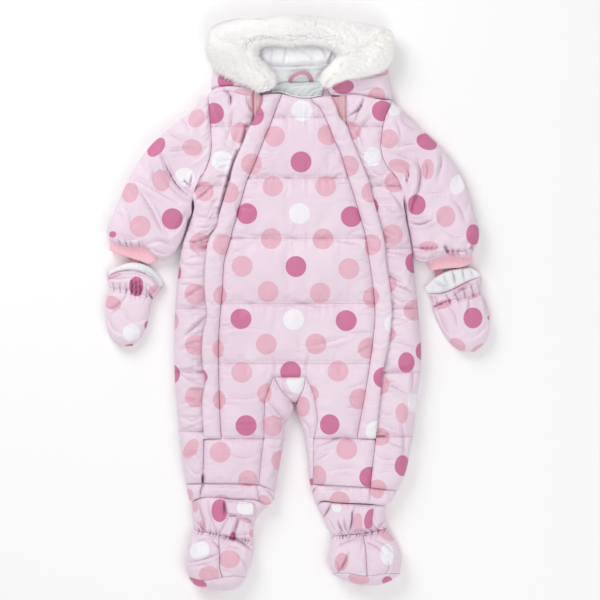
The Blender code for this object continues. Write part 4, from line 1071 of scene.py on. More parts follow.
tape = woven_tape("woven_tape", dye(214, 150, 166), dye(176, 106, 128))
zip_cloth = woven_tape("zip_cloth", dye(236, 184, 196), dye(214, 148, 166))
coil = zip_plastic()
ZIP_TOOTH = rod(4.6 * MM, 1.4 * MM, 1.2 * MM)
for which in (LEFT, RIGHT):
    name = NAMES[which]
    edges = [lambda y: flap_line("edge_" + name, y),
             lambda y: flap_line("seam_" + name, y) + which * 0.3 * MM][::-which]
    x, y = body_rows(0, FLAP_END_ROW, *edges, spaced(34 * MM))
    y = y + 0.2 * MM * (np.arange(len(y)) == len(y) - 1)[:, None]
    seam_away = np.abs(x - flap_line("seam_" + name, y))
    loose_away = np.abs(x - flap_line("edge_" + name, y))
    base = 0.5 * front_height(x, y, FRONT_QUILTS) + 0.5 * front_height(x, y, (900,))
    z = drawn_in(base, seam_away, y, 7.0 + which) + FLAP_RISE * rounded(seam_away, 9 * MM)
    z += puckers(y, loose_away, 0.8 * MM, 10 * MM, 1.5 * which) + 0.35 * MM * uneven(y * 0.6, 3.0 * which)
    z -= 2.8 * MM * (1 - rounded(loose_away, 8 * MM)) + 3 * MM * (1 - rounded(y - FLAP_END, 7 * MM))
    low = z - (FLAP_WALL - 1.2 * MM) * rounded(loose_away, 5 * MM) - 0.5 * MM
    padded_piece("flap_" + name, x, y, z, low, FLAP_DOTS[which], creases=FLAP_CREASES[which], growth=0.01,
                 cap=1.5 * MM)

    x, y = body_rows(0, FLAP_END_ROW - 2, *[
        lambda y: under_flap(which, y) - which * 0.6 * MM,
        lambda y: which * np.maximum(which * under_flap(which, y) - ZIP_WIDTH,
                                     which * flap_line("seam_" + name, y) + 2 * MM),
    ][::-which], np.linspace(0, 1, 7))
    y[0] -= 1.5 * MM
    z = FRONT_INSIDE + (front_height(x, y, FRONT_QUILTS) - FRONT_INSIDE) * 0.75 - 1.6 * MM
    z = np.minimum(z, front_height(x, y, FRONT_QUILTS) - 4.2 * MM)
    length = float(np.hypot(np.diff(x[:, 3]), np.diff(y[:, 3])).sum())
    sheet_of("zip_tape_" + name, "zip_" + name, x, y, z, z - TAPE_WALL, zip_cloth, "tape",
             (0.016, round(length, 3)), ["front_centre"])
    for part, column, side in (("coil", 1, 1), ("coil_edge", 2, -1)):
        k = column if which == LEFT else 6 - column
        line = np.stack([x[:, k], y[:, k], z[:, k] + 0.5 * MM], axis=-1)[:44]
        repeated_along(f"zip_{part}_{name}", [line], ZIP_TOOTH, TOOTH_PITCH, coil, "tape", turn=side * 1.05)


# ---- sleeves and cuffs ------------------------------------------------------------------------
# Each sleeve is a padded tube of the printed satin, sewn in at the armhole and laid flat. Its hem
# is gathered onto a cuff of soft pink rib knit, which is folded double.

TUBE_MIDDLE, SLEEVE_CROWN, CUFF_CROWN = 13 * MM, 32 * MM, 18 * MM
SLEEVE_STEPS = 40  # columns from the outer edge to the inner one
SLEEVES = {
    LEFT: {
        "elbow": ((-178, 246), (-168, 185), (-152, 118)),
        "outer": ((-178, 246), (-206, 220), (-234, 178), (-252, 137), (-266, 97), (-262, 84)),
        "inner": ((-152, 118), (-162, 87), (-174, 68), (-186, 60)),
        "hem": ((-262, 84), (-241, 79), (-211, 77), (-200, 66), (-186, 60)),
    },
    RIGHT: {
        "elbow": ((178, 240), (169, 182), (154, 118)),
        "outer": ((178, 240), (206, 213), (230, 173), (244, 137), (253, 89), (246, 72)),
        "inner": ((154, 118), (158, 92), (161, 75), (163, 62)),
        "hem": ((246, 72), (240, 66), (206, 65), (190, 61), (176, 57), (163, 62)),
    },
}
SLEEVE_LEANS_TO = {LEFT: 116 * MM, RIGHT: 64 * MM}
SLEEVE_DOTS = {
    LEFT: {
        WHITE: ((185.5, 177.5, 9.8, 9.3),),
        DEEP: (
            (157.6, 148.3, 11, 7, 50), (172.7, 219), (113.8, 234.5, 3.6, 3.2),
            (179, 249.5, 1.4, 8.5, -40),
        ),
        PALE: (
            (196.8, 118.6, 8, 9.8, -25), (192.8, 148, 10, 8.3, -12), (162.4, 181, 9, 10.9),
            (131.2, 193.4, 8.2, 9.9, -15), (140.7, 226.4),
        ),
    },
    RIGHT: {
        WHITE: ((394.5, 109, 6.5, 7.5), (456.2, 185.3, 7, 10, -10)),
        DEEP: (
            (426.3, 142.6, 10.8, 7.8, -25), (415.5, 205, 9.5, 10), (472, 234.8, 7, 10.2),
            (447, 251.8, 2.2, 1.8),
        ),
        PALE: (
            (388.8, 139.4, 9, 9.6), (398.7, 166.6, 11, 6.8, -15), (427, 169.7, 6.3, 10.2),
            (445, 217, 9.6, 10.6), (428, 246.5, 9.5, 5), (452.5, 254, 4.6, 2.4), (406, 175, 3, 3),
        ),
    },
}
SLEEVE_CREASES = {
    LEFT: (
        (164, 158, 169, 170, 174, 180, 181, 189, 189, 195, 5.5, 3.6),
        (130, 179, 143, 183, 158, 192, 178, 203, 1.8, 3.2),
        (137, 185, 146, 200, 155, 215, 163, 233, 2.4, 4.0), (147, 195, 158, 208, 168, 236, 1.4, 3.4),
        (170, 152.5, 178, 151, 184, 151.5, 1.8, 2.4), (168, 133, 176, 137, 184, 143, 1.6, 3.0),
        (185.5, 181, 187.5, 183, 189.5, 185, 4.4, 1.6), (192.5, 176, 191.5, 181, 190.5, 187, 3.0, 1.6),
        (108, 241, 120, 246, 135, 248, 148, 250, 2.2, 1.8), (119, 239, 120, 242.5, 122, 246, 2.2, 1.4),
        (126, 241, 127, 244, 128.5, 248, 2.6, 1.3), (131, 241, 132, 245, 133, 248, 2.0, 1.3),
        (139, 242, 139.5, 246, 141, 249, 2.2, 1.4), (153, 249, 159, 253, 167, 254, 1.4, 2.4),
        (176, 117, 186, 122, 190, 132, 1.2, 3.6), (122, 205, 130, 212, 132, 224, 1.2, 3.4),
        (152, 244, 160, 240, 172, 246, 1.6, 3.0), (118, 236, 126, 240, 138, 239, 1.6, 3.0),
        (175, 232, 180, 226, 186, 214, 1.4, 3.0), (196, 160, 202, 154, 207, 146, 1.2, 3.2),
        (150, 165, 155, 172, 154, 182, 1.6, 3.2),
    ),
    RIGHT: (
        (417, 163, 420.5, 171, 419.5, 186, 415, 199, 3.4, 3.8),
        (440, 156, 440.5, 166, 437, 177, 2.2, 3.2), (397, 148, 407, 145, 416, 144, 2.0, 3.2),
        (392, 153, 402, 157, 414, 161, 1.8, 2.8), (426, 164, 427.5, 170, 425, 180, 1.8, 2.0),
        (394, 165, 402, 165, 409, 168, 1.4, 2.0), (407.5, 171, 408, 176, 405.5, 182, 4.2, 1.7),
        (424, 194, 434, 193, 446, 192, 1.4, 2.6), (410, 223, 421, 225, 433, 219, 3.0, 2.8),
        (410, 218, 420, 219, 428, 215, 1.6, 2.4), (413, 247.5, 425, 249, 440, 248, 3.2, 2.0),
        (441, 247, 449, 250.5, 459, 252, 468, 250, 474, 245, 2.6, 1.8),
        (443.5, 246, 445.5, 250, 448, 254, 4.4, 1.5), (451, 249, 452, 252.5, 453, 256, 2.8, 1.3),
        (457, 250, 458, 254, 458.5, 257, 2.2, 1.3), (464, 249, 465.5, 253, 466, 256, 2.8, 1.3),
        (470, 245, 471, 249, 472.5, 253, 3.2, 1.4), (414, 257, 424, 260, 436, 256, 1.6, 2.2),
        (414, 198, 411, 206, 412, 214, 2.0, 2.2), (452, 200, 460, 209, 464, 222, 1.4, 3.6),
        (444, 232, 455, 238, 464, 236, 1.2, 3.4), (466, 244, 470, 240, 476, 243, 1.6, 2.4),
        (404, 122, 412, 130, 420, 130, 1.2, 3.4), (396, 122, 400, 132, 399, 144, 1.2, 3.0),
    ),
}
CUFFS = {
    LEFT: {
        "top": ((-262, 87), (-241, 83), (-210, 81), (-197, 70)),
        "bottom": ((-263, 74), (-241, 66), (-220, 59), (-206, 55), (-196, 60)),
    },
    RIGHT: {
        "top": ((179, 62), (192, 66), (208, 70), (236, 71), (242, 69)),
        "bottom": ((187, 45), (195, 47), (214, 49), (232, 51), (246, 58)),
    },
}


def resampled(points, shares):
    """Points at these shares of the length of a smooth curve through points given in millimetres."""
    points = np.array(points, float) * MM
    run = np.concatenate([[0], np.hypot(*np.diff(points, axis=0).T).cumsum()])
    at = np.asarray(shares) * run[-1]
    return np.stack([smooth(run, points[:, 0], at), smooth(run, points[:, 1], at)], axis=-1)


def lofted(first, last, rows):
    """Plan points of straight columns between two rows of points."""
    v = np.linspace(0, 1, rows)[:, None, None]
    return np.moveaxis(first * (1 - v) + last * v, -1, 0)


def stretched(first, last, columns, rows):
    """Plan points of straight columns between two lines."""
    shares = np.linspace(0, 1, columns)
    return lofted(resampled(first, shares), resampled(last, shares), rows)


def patch(first, last, left, right, rows):
    """Plan points between four curves: first and last are rows of points, left and right are lines."""
    v = np.linspace(0, 1, rows)
    left, right = resampled(left, v), resampled(right, v)
    left[0], left[-1], right[0], right[-1] = first[0], last[0], first[-1], last[-1]
    u = np.concatenate([[0], np.linalg.norm(np.diff(first, axis=0), axis=1).cumsum()])
    u, v = (u / u[-1])[None, :, None], v[:, None, None]
    corners = ((1 - u) * (1 - v) * first[0] + u * (1 - v) * first[-1]
               + (1 - u) * v * last[0] + u * v * last[-1])
    grid = (1 - v) * first + v * last + (1 - u) * left[:, None] + u * right[:, None] - corners
    return np.moveaxis(grid, -1, 0)


def runs(x, y):
    """How far each point of a grid is from its left, right, first and last edges, along the grid."""
    across = np.hypot(np.diff(x, axis=1), np.diff(y, axis=1)).cumsum(axis=1)
    across = np.hstack([np.zeros((len(x), 1)), across])
    down = np.hypot(np.diff(x, axis=0), np.diff(y, axis=0)).cumsum(axis=0)
    down = np.vstack([np.zeros((1, x.shape[1])), down])
    return across, across[:, -1:] - across, down, down[-1:] - down


def pillow(x, y, crown, reach, first, last, gathers, seed):
    """Upper and lower heights of a tube laid flat: round at its sides and flat underneath.

    first and last are the shares of its padding that seams at its end rows take away.
    """
    left, right, down, up = runs(x, y)
    inwards = np.minimum(left, right)
    ends = (1 - first * (1 - rounded(down, 14 * MM))) * (1 - last * (1 - rounded(up, 12 * MM)))
    top = TUBE_MIDDLE + (crown - TUBE_MIDDLE) * rounded(inwards, reach) * ends
    top += puckers(left, down, gathers * MM, 11 * MM, seed) * rounded(inwards, 10 * MM)
    top += puckers(left, up, gathers * MM, 11 * MM, seed + 2) * rounded(inwards, 10 * MM)
    low = TUBE_MIDDLE * (1 - np.minimum(1, 1.2 * rounded(inwards, 0.8 * reach) * (0.4 + 0.6 * ends)))
    return top, np.maximum(low, LEAST_HEIGHT)


def rib_knit():
    """Soft cotton rib: a knit of pink yarn whose ribs are in the shape, with small loops between."""
    r = Recipe("rib_knit")
    loops = r.tufts(700)
    cloudy = r.noise(70, 3)
    colour = r.blend(cloudy, dye(250, 192, 208), dye(255, 214, 224))
    # Painted shade: darker pink in the dips between the loops.
    colour = r.blend(loops.between(0.3, 0.9) * 0.3, colour, dye(232, 160, 182))
    return r.finish(Base_Color=colour, Roughness=cloudy * 0.08 + 0.82, Sheen_Weight=0.5,
                    Sheen_Roughness=0.5, Specular_IOR_Level=0.25,
                    Normal=r.bump(loops, 0.6, 0.35, sunk=True))


knit = rib_knit()
for which in (LEFT, RIGHT):
    name, outline = NAMES[which], SLEEVES[which]
    shares = np.linspace(0, 1, SLEEVE_STEPS + 1)
    heights = np.linspace(SIDES[which][0][1] * MM, ARMHOLE_END, 60)
    seam_x = upright(SIDES[which], heights)
    armhole = resampled(np.stack([seam_x + which * 0.3 * MM, heights], axis=-1) / MM, shares)
    elbow, hem = resampled(outline["elbow"], shares), resampled(outline["hem"], shares)
    upper = lofted(armhole, elbow, 18)
    lower = patch(elbow, hem, outline["outer"], outline["inner"], 34)
    x, y = (np.vstack([a, b[1:]]) for a, b in zip(upper, lower))
    edge_x, edge_y = x[:, -1:], y[:, -1:]
    gap = which * (edge_x - upright(SIDES[which], edge_y)) - 0.8 * MM
    leaning = np.clip((edge_y - SLEEVE_LEANS_TO[which]) / (8 * MM), 0, 1)
    leaning *= np.clip((ARMHOLE_END - edge_y) / (6 * MM), 0, 1)
    x = x - which * np.clip(gap, 0, 4 * MM) * leaning * np.exp(-((x - edge_x) / (16 * MM)) ** 2)
    top, low = pillow(x, y, SLEEVE_CROWN, 30 * MM, first=0.34, last=0.5, gathers=1.3, seed=2.0 + which)
    inwards = np.minimum(*runs(x, y)[:2])
    top += 0.5 * MM * uneven(0.35 * (y - which * x), 1.0 + which) * rounded(inwards, 20 * MM)
    padded_piece("sleeve_" + name, x, y, top, low, SLEEVE_DOTS[which], below=((150, 160), -0.5 * which),
                 creases=SLEEVE_CREASES[which], growth=0.02, cap=3 * MM)

    x, y = stretched(CUFFS[which]["top"], CUFFS[which]["bottom"], 190, 22)
    left, right, down, up = runs(x, y)
    inwards = np.minimum(left, right)
    ribs = 0.42 * MM * np.cos(2 * np.pi * left / (2.7 * MM) + 0.5 * np.sin(left / (9 * MM)))
    ribs *= rounded(inwards, 4 * MM) * rounded(up, 3 * MM)
    body = rounded(inwards, 10 * MM)
    fold = 1 - 0.55 * (1 - rounded(up, 3.5 * MM))
    slack = 0.7 * MM * uneven(left * 0.7, 3.0 * which) * np.clip(1 - down / (16 * MM), 0.25, 1)
    top = TUBE_MIDDLE + 0.5 * MM + (CUFF_CROWN - TUBE_MIDDLE - 1 * MM) * body * fold + ribs + slack * body
    rise = 3.6 * MM * np.clip(1 - down / (9 * MM), 0, 1) * body
    low = TUBE_MIDDLE - 0.5 * MM - ribs * 0.5
    low -= (TUBE_MIDDLE - 1.4 * MM) * np.minimum(1, 1.3 * body) * (0.7 + 0.3 * fold)
    cut = (round(float(left[:, -1].mean()), 3), 0.03)
    sheet_of(f"cuff_{name}_knit", "cuff_" + name, x, y, np.maximum(top + rise, TUBE_MIDDLE + 0.7 * MM),
             TUBE_MIDDLE + 0.4 * MM, knit, "rib", cut, ["sleeve_" + name], "gathered")
    sheet_of(f"cuff_{name}_knit_below", None, x, y, TUBE_MIDDLE - 0.4 * MM,
             np.clip(low, 0.1 * MM, TUBE_MIDDLE - 0.7 * MM), knit, "rib", cut, ["floor"], "gathered")


# ---- mittens ----------------------------------------------------------------------------------
# A mitten hangs at each cuff by a tape. Its back and front are padded satin, elastic gathers it
# below its mouth, and white fleece lines it and shows in the mouth.

MITTEN_MIDDLE, MITTEN_CROWN = 9 * MM, 23 * MM
MITTENS = {  # rows from the mouth to the tip, as the x and y of their left and right ends
    LEFT: ((-267, 38, -191, 19), (-264, 20, -202, 6), (-268, 0, -204, -1), (-269, -20, -207, -18),
           (-265, -40, -213, -38), (-258, -53, -222, -52), (-249, -60, -232, -60)),
    RIGHT: ((179, 15, 258, 31), (187, 8, 257, 15), (189, -10, 265, -6), (194, -24, 269, -26),
            (204, -43, 268, -42), (215, -58, 262, -56), (227, -67, 247, -68)),
}
MITTEN_RIMS = {
    LEFT: {
        "back": ((-264, 45), (-250, 52), (-234, 57), (-215, 55), (-196, 42), (-186, 29)),
        "front": ((-265, 38), (-248, 44), (-231, 45), (-217, 42), (-206, 37), (-190, 21)),
    },
    RIGHT: {
        "back": ((178, 23), (191, 35), (209, 45), (228, 49), (244, 49), (257, 40)),
        "front": ((180, 14), (199, 13), (213, 17), (227, 24), (241, 31), (256, 37)),
    },
}
MITTEN_ELASTICS = {
    LEFT: ((107, 288), (118, 289.5), (128.4, 290.7), (140, 294), (153, 299.5)),
    RIGHT: ((427, 308), (437.5, 306), (451.8, 300.5), (462.5, 298.8), (483, 291)),
}
MITTEN_TAPES = {
    LEFT: (((-234, 66), (-223, 62)), ((-234, 57.6), (-223, 56.6))),
    RIGHT: (((192, 48), (203, 50)), ((192, 37), (203, 43))),
}
MITTEN_DOTS = {
    LEFT: {
        WHITE: ((131.8, 332.7, 8.6, 8.6),),
        DEEP: ((136.8, 286.4, 7.2, 9.8), (147.5, 325.5, 3, 4.6), (130.6, 346, 5.5, 2.4)),
        PALE: ((113, 303, 9, 7, -20), (114, 276, 8, 2.4, 12), (153, 290, 6, 3.4, 40)),
    },
    RIGHT: {
        DEEP: ((472.3, 317.8, 9.4, 10.3), (489, 317.8, 2.4, 2.6), (445, 301.6, 6.5, 1.1, 16)),
        PALE: (
            (456.8, 345.3, 9, 7, -35), (443.5, 304.5, 8, 4.2, 15), (461, 286, 9, 2.8, 22),
            (477, 348, 8, 2.6, 32), (474, 296, 7, 2.2, 24),
        ),
    },
}
MITTEN_LINING_CREASES = {
    LEFT: ((114, 276, 124, 271, 136, 270, 148, 275, 1.6, 1.6), (146, 271, 153, 277, 160, 284, 1.8, 1.6)),
    RIGHT: (
        (452, 270, 453.5, 276, 455, 283, 3.4, 1.8), (462, 269, 463, 274, 464, 279, 2.6, 1.6),
        (443, 273, 445, 279, 449, 286, 1.8, 2.0), (434, 281, 441, 285, 449, 288, 2.4, 1.8),
        (470, 270, 472, 273, 473, 276, 1.6, 1.6),
    ),
}
MITTEN_CREASES = {
    LEFT: (
        (106, 279, 120, 279, 134, 277, 1.6, 2.4), (141, 281, 150, 286, 156, 293, 1.6, 2.4),
        (109, 309, 116, 307, 121, 302, 2.2, 2.4), (132, 281, 132.6, 288, 131.6, 295, 3.4, 1.5),
        (136.2, 279, 136.6, 287, 136, 297, 3.0, 1.3), (140, 281, 140.6, 289, 140, 296, 3.4, 1.4),
        (113, 283, 114, 287, 114.5, 292, 2.0, 1.4), (120, 284, 120.5, 288, 121, 293, 2.2, 1.4),
        (126, 284, 126.5, 288, 127, 294, 2.0, 1.3), (146, 286, 147, 291, 147, 297, 2.2, 1.4),
        (149, 294, 151.5, 297, 153.5, 300, 4.6, 1.8), (129, 292, 122, 303, 114, 312, 1.2, 2.6),
        (125, 312, 131, 322, 141, 321, 0.9, 3.2), (109, 318, 113, 328, 119, 333, 1.0, 3.0),
    ),
    RIGHT: (
        (454, 292, 467, 288, 480, 281, 1.6, 2.2), (468, 299, 469, 306, 467, 312, 1.6, 2.2),
        (482, 296, 485, 304, 486, 313, 1.6, 2.2), (438, 312, 442, 321, 446, 332, 1.4, 2.8),
        (448, 306, 455, 314, 457, 326, 1.0, 3.0), (470, 338, 478, 334, 485, 327, 1.0, 3.0),
        (431, 309, 438, 305, 447, 301, 3.0, 1.7), (452, 297, 458, 292, 466, 288, 2.4, 1.7),
        (434, 296, 436, 301, 438, 306, 2.0, 1.4), (446, 294, 448, 299, 450, 304, 2.4, 1.4),
        (454, 291, 456, 296, 458, 302, 2.6, 1.3), (462, 288, 464, 293, 465, 299, 2.4, 1.3),
        (470, 284, 472, 290, 473, 297, 2.8, 1.4), (477, 282, 478.5, 287, 479.5, 294, 2.2, 1.3),
    ),
}


def refined(x, y, step=ROW_STEP):
    """The grid with as many rows as the step asks for, on smooth columns through its own rows."""
    run = np.hypot(np.diff(x, axis=0), np.diff(y, axis=0)).mean(axis=1)
    run = np.concatenate([[0], run.cumsum()])
    at = np.linspace(0, run[-1], max(4, int(round(run[-1] / step)) + 1))
    return [np.stack([smooth(run, column, at) for column in grid.T], axis=1) for grid in (x, y)]


def between(rows, shares):
    """Plan points of rows given by the x and y of their two ends, in millimetres."""
    left_x, left_y, right_x, right_y = np.array(rows, float).T[:4, :, None] * MM
    u = np.asarray(shares)[None, :]
    return left_x * (1 - u) + right_x * u, left_y * (1 - u) + right_y * u


def brushed_fleece():
    """White brushed fleece: a close nap that curls into small soft tufts."""
    r = Recipe("brushed_fleece")
    tufts = r.tufts(380)
    nap = r.noise(900, 3, 0.7)
    cloudy = r.noise(30, 3)
    colour = r.blend(cloudy.between(0.25, 0.75), dye(238, 238, 243), dye(252, 252, 254))
    # Painted shade: bluish grey in the dips between the tufts.
    colour = r.blend(tufts.between(0.35, 0.9) * 0.3, colour, dye(206, 206, 216))
    # Painted shade: greenish grey wherever a piece's print asks for it.
    painted_shade_share, _, _ = r.parts("print")
    colour = r.blend(painted_shade_share * 0.7, colour, dye(213, 219, 218))
    # Painted shade along the bottoms of its folds, bluish grey.
    away, depth, _ = r.parts("fold")
    line = (away + (nap - 0.5) * 0.8).between(1.9, 0.2) * depth
    colour = r.blend(line * 0.45, colour, dye(172, 176, 190))
    return r.finish(Base_Color=colour, Roughness=cloudy * 0.05 + 0.93, Sheen_Weight=0.6,
                    Sheen_Roughness=0.6, Specular_IOR_Level=0.15,
                    Normal=r.bump(tufts - nap * 0.4, 0.5, 0.7, sunk=True))


def painted_shade_print(painted_shade):
    """What faces of fleece hold as their print: how much shade is painted on each place."""
    return np.stack([painted_shade, 0 * painted_shade, 0 * painted_shade], axis=-1)


fleece = brushed_fleece()
for which in (LEFT, RIGHT):
    name, rims = NAMES[which], MITTEN_RIMS[which]
    shares = np.linspace(0, 1, 34)
    for face, first_row in (("back", 0), ("front", 1)):
        x, y = between(MITTENS[which][first_row:], shares)
        rim = resampled(rims[face], shares)
        x, y = refined(np.vstack([rim[:, 0], x]), np.vstack([rim[:, 1], y]), 2.6 * MM)
        outline = [*zip(x[:, 0], y[:, 0]), *zip(x[-1], y[-1]), *zip(x[::-1, -1], y[::-1, -1])]
        inwards = to_line(x, y, outline)[0]
        if face == "back":
            low = MITTEN_MIDDLE * (1 - np.minimum(1, 1.15 * rounded(inwards, 16 * MM)))
            x, y, low = doubled(x, y, np.maximum(low, LEAST_HEIGHT))
            start = (290 + 150 * which, 322)
            padded_wall(f"mitten_back_{name}_cloth", "mitten_back_" + name, 0.5, x, y,
                        MITTEN_MIDDLE + 0.1 * MM, low, satin, "shell", print=[repeated(x, y, start, 0.3)])
            continue
        swell = rounded(inwards, 20 * MM) * (0.42 + 0.58 * rounded(runs(x, y)[2], 10 * MM))
        elastic, run, _ = to_line(x, y, chart(*MITTEN_ELASTICS[which]))
        swell *= 1 - 0.5 * (1 - rounded(elastic, 10 * MM))
        top = MITTEN_MIDDLE + 0.4 * MM + (MITTEN_CROWN - MITTEN_MIDDLE) * swell
        top += 1.5 * MM * pleats(run, 0.11, which) * np.exp(-elastic / (7 * MM)) * rounded(inwards, 10 * MM)
        top += puckers(x, inwards, 0.7 * MM, 5 * MM, 3.0 + which)
        padded_piece("mitten_front_" + name, x, y, np.maximum(top, MITTEN_MIDDLE + 0.6 * MM),
                     MITTEN_MIDDLE + 0.3 * MM, MITTEN_DOTS[which], quilted=elastic < 1.4 * MM,
                     creases=MITTEN_CREASES[which], cap=1.6 * MM)

    x, y = stretched(rims["back"], rims["front"], 60, 14)
    left, right, down, up = runs(x, y)
    depth = np.minimum(down, up)
    top = 4.2 * MM * rounded(depth, 5 * MM) * rounded(np.minimum(left, right), 12 * MM)
    top += MITTEN_MIDDLE + 1 * MM
    top += 1.1 * MM * uneven(left * 0.8, 1.7 * which) * rounded(depth, 7 * MM)
    gathers = MITTEN_LINING_CREASES[which]
    top = np.maximum(creased(x, y, top, gathers), MITTEN_MIDDLE + 0.9 * MM)
    # Painted shade in the mouth: greyer towards the front rim, and on the left mitten towards its right
    # side.
    painted_shade = 0.5 * np.clip(down / (12 * MM), 0, 1)
    if which == LEFT:
        painted_shade = 0.9 * np.clip((left / left[:, -1:] - 0.35) * 3, 0, 1)
    width = round(float(left[:, -1].max()), 3)
    sheet_of(f"mitten_{name}_fleece", "mitten_lining_" + name, x, y, top, MITTEN_MIDDLE + 0.4 * MM, fleece,
             "fleece", (width, 0.016), ["mitten_back_" + name], print=[painted_shade_print(painted_shade)],
             fold=[fold_shade_lines(x, y, gathers)])
    x, y = stretched(*MITTEN_TAPES[which], 8, 8)
    height = np.linspace(12.4, 9.6, 8)[:, None] * MM + 0 * x
    sheet_of(f"mitten_{name}_tape", "mitten_tape_" + name, x, y, height, height - 0.9 * MM, tape, "tape",
             (0.011, 0.012), ["mitten_back_" + name], "hung")


# ---- leg ends ---------------------------------------------------------------------------------
# Each leg ends in a turned hem band. The bootie in it has a shaft that an elastic gathers, an upper
# of two halves with a seam between them and a sole, all of the same padded satin.

BAND_CROWN, ANKLE_CROWN, FOOT_CROWN = 27 * MM, 25 * MM, 38 * MM
SEAM_SHIFT = (0, 0.7 * MM)  # takes up the gap that the pieces have at a seam
BANDS = {
    LEFT: {
        "top": ((-156, -253), (-131, -252), (-67, -253), (-55, -254), (-31, -262)),
        "bottom": ((-151, -276), (-132, -271), (-86, -273), (-58, -274), (-39, -281), (-32, -274)),
    },
    RIGHT: {
        "top": ((18, -254), (54, -255), (100, -258), (139, -262)),
        "bottom": ((25, -281), (30, -277), (54, -278), (100, -280), (123, -281), (132, -277)),
    },
}
ANKLES = {
    LEFT: {
        "top": ((-147, -277), (-132, -272), (-86, -274), (-58, -275), (-41, -283)),
        "bottom": ((-144, -317), (-120, -321), (-106, -324), (-86, -328), (-62, -333)),
        "left": ((-147, -276), (-147, -297), (-144, -317)),
        "right": ((-41, -283), (-53, -294), (-60, -308), (-62, -333)),
    },
    RIGHT: {
        "top": ((27, -283), (33, -279), (54, -280), (100, -282), (124, -283)),
        "bottom": ((50, -325), (72, -323), (91, -321), (112, -317), (127, -314)),
        "left": ((27, -283), (35, -298), (43, -317), (50, -325)),
        "right": ((124, -283), (122, -296), (127, -314)),
    },
}
FEET = {
    LEFT: {
        "top": ((-144, -318), (-120, -322), (-109, -324), (-86, -329), (-62, -334)),
        "left": ((-144, -318), (-150, -329), (-154, -351), (-156, -370), (-152, -382)),
        "right": ((-62, -334), (-61, -349), (-65, -365), (-72, -382)),
        "sole_seam": ((-152, -382), (-134, -386), (-105, -382), (-88, -380), (-72, -382)),
        "sole_edge": ((-152, -384), (-143, -394), (-125, -398), (-93, -401), (-81, -396), (-72, -383)),
        "seam_at": (0.425, 0.59),
    },
    RIGHT: {
        "top": ((50, -326), (72, -324), (91, -322), (112, -318), (127, -315)),
        "left": ((50, -326), (45, -345), (43, -365), (49, -377)),
        "right": ((127, -315), (142, -340), (146, -363), (143, -377)),
        "sole_seam": ((49, -377), (68, -376), (97, -380), (121, -377), (143, -377)),
        "sole_edge": ((49, -379), (68, -389), (89, -394), (112, -394), (130, -388), (143, -379)),
        "seam_at": (0.529, 0.511),
    },
}
LEG_END_DOTS = {
    LEFT: {
        "band": {
            PALE: (
                (188.6, 494.5, 5, 6.2), (221.8, 499.8, 8, 5.8), (264.6, 499.8, 6.8, 4.8, -35),
                (248, 478.5, 6, 8),
            ),
        },
        "ankle": {
            # The small deep dot at (233, 535) is painted shade in a hollow by the strap, not print.
            DEEP: ((219.9, 510, 8, 11.4), (233, 535, 3, 4)),
            PALE: (
                (195.7, 505, 3.6, 7), (203, 525, 3, 5.6, 15), (251.7, 533, 2.6, 4), (246, 520, 6, 2, -20),
            ),
        },
        "outer": {WHITE: ((200, 549.6, 10, 8.8, 28),), PALE: ((209.4, 573.6, 10, 9),)},
        # The small deep dot at (232.6, 536.6) is painted shade in the same hollow.
        "inner": {PALE: ((229.6, 558, 10.4, 9), (251.5, 537, 2.4, 4)), DEEP: ((232.6, 536.6, 3.6, 3.2),)},
        "sole": {DEEP: ((198.2, 581.6, 9.6, 4.6, -22),)},
        "tab": {WHITE: ((245.6, 507, 8.4, 7.6, -10),)},
        "strap": {},
    },
    RIGHT: {
        "band": {PALE: ((339.4, 500.8, 10, 10.2), (377, 488.4, 7.8, 9.5))},
        "ankle": {PALE: ((385, 535, 9, 3.8, -38),), WHITE: ((336.5, 506.5, 4.6, 5.4, 30),)},
        "inner": {PALE: ((341.5, 560.8, 6.8, 9.3, -14),)},
        "outer": {WHITE: ((386.6, 553.5, 6.8, 10.6, 8),), PALE: ((385, 534, 10, 4.2, -38),)},
        "sole": {PALE: ((358.6, 577.4, 10.6, 5.6, -10),), DEEP: ((386.8, 579.6, 5, 4.4, 20),)},
        "strap": {PALE: ((357.6, 522, 4.8, 10),), DEEP: ((369.4, 518, 5.2, 10.2, -14),)},
    },
}
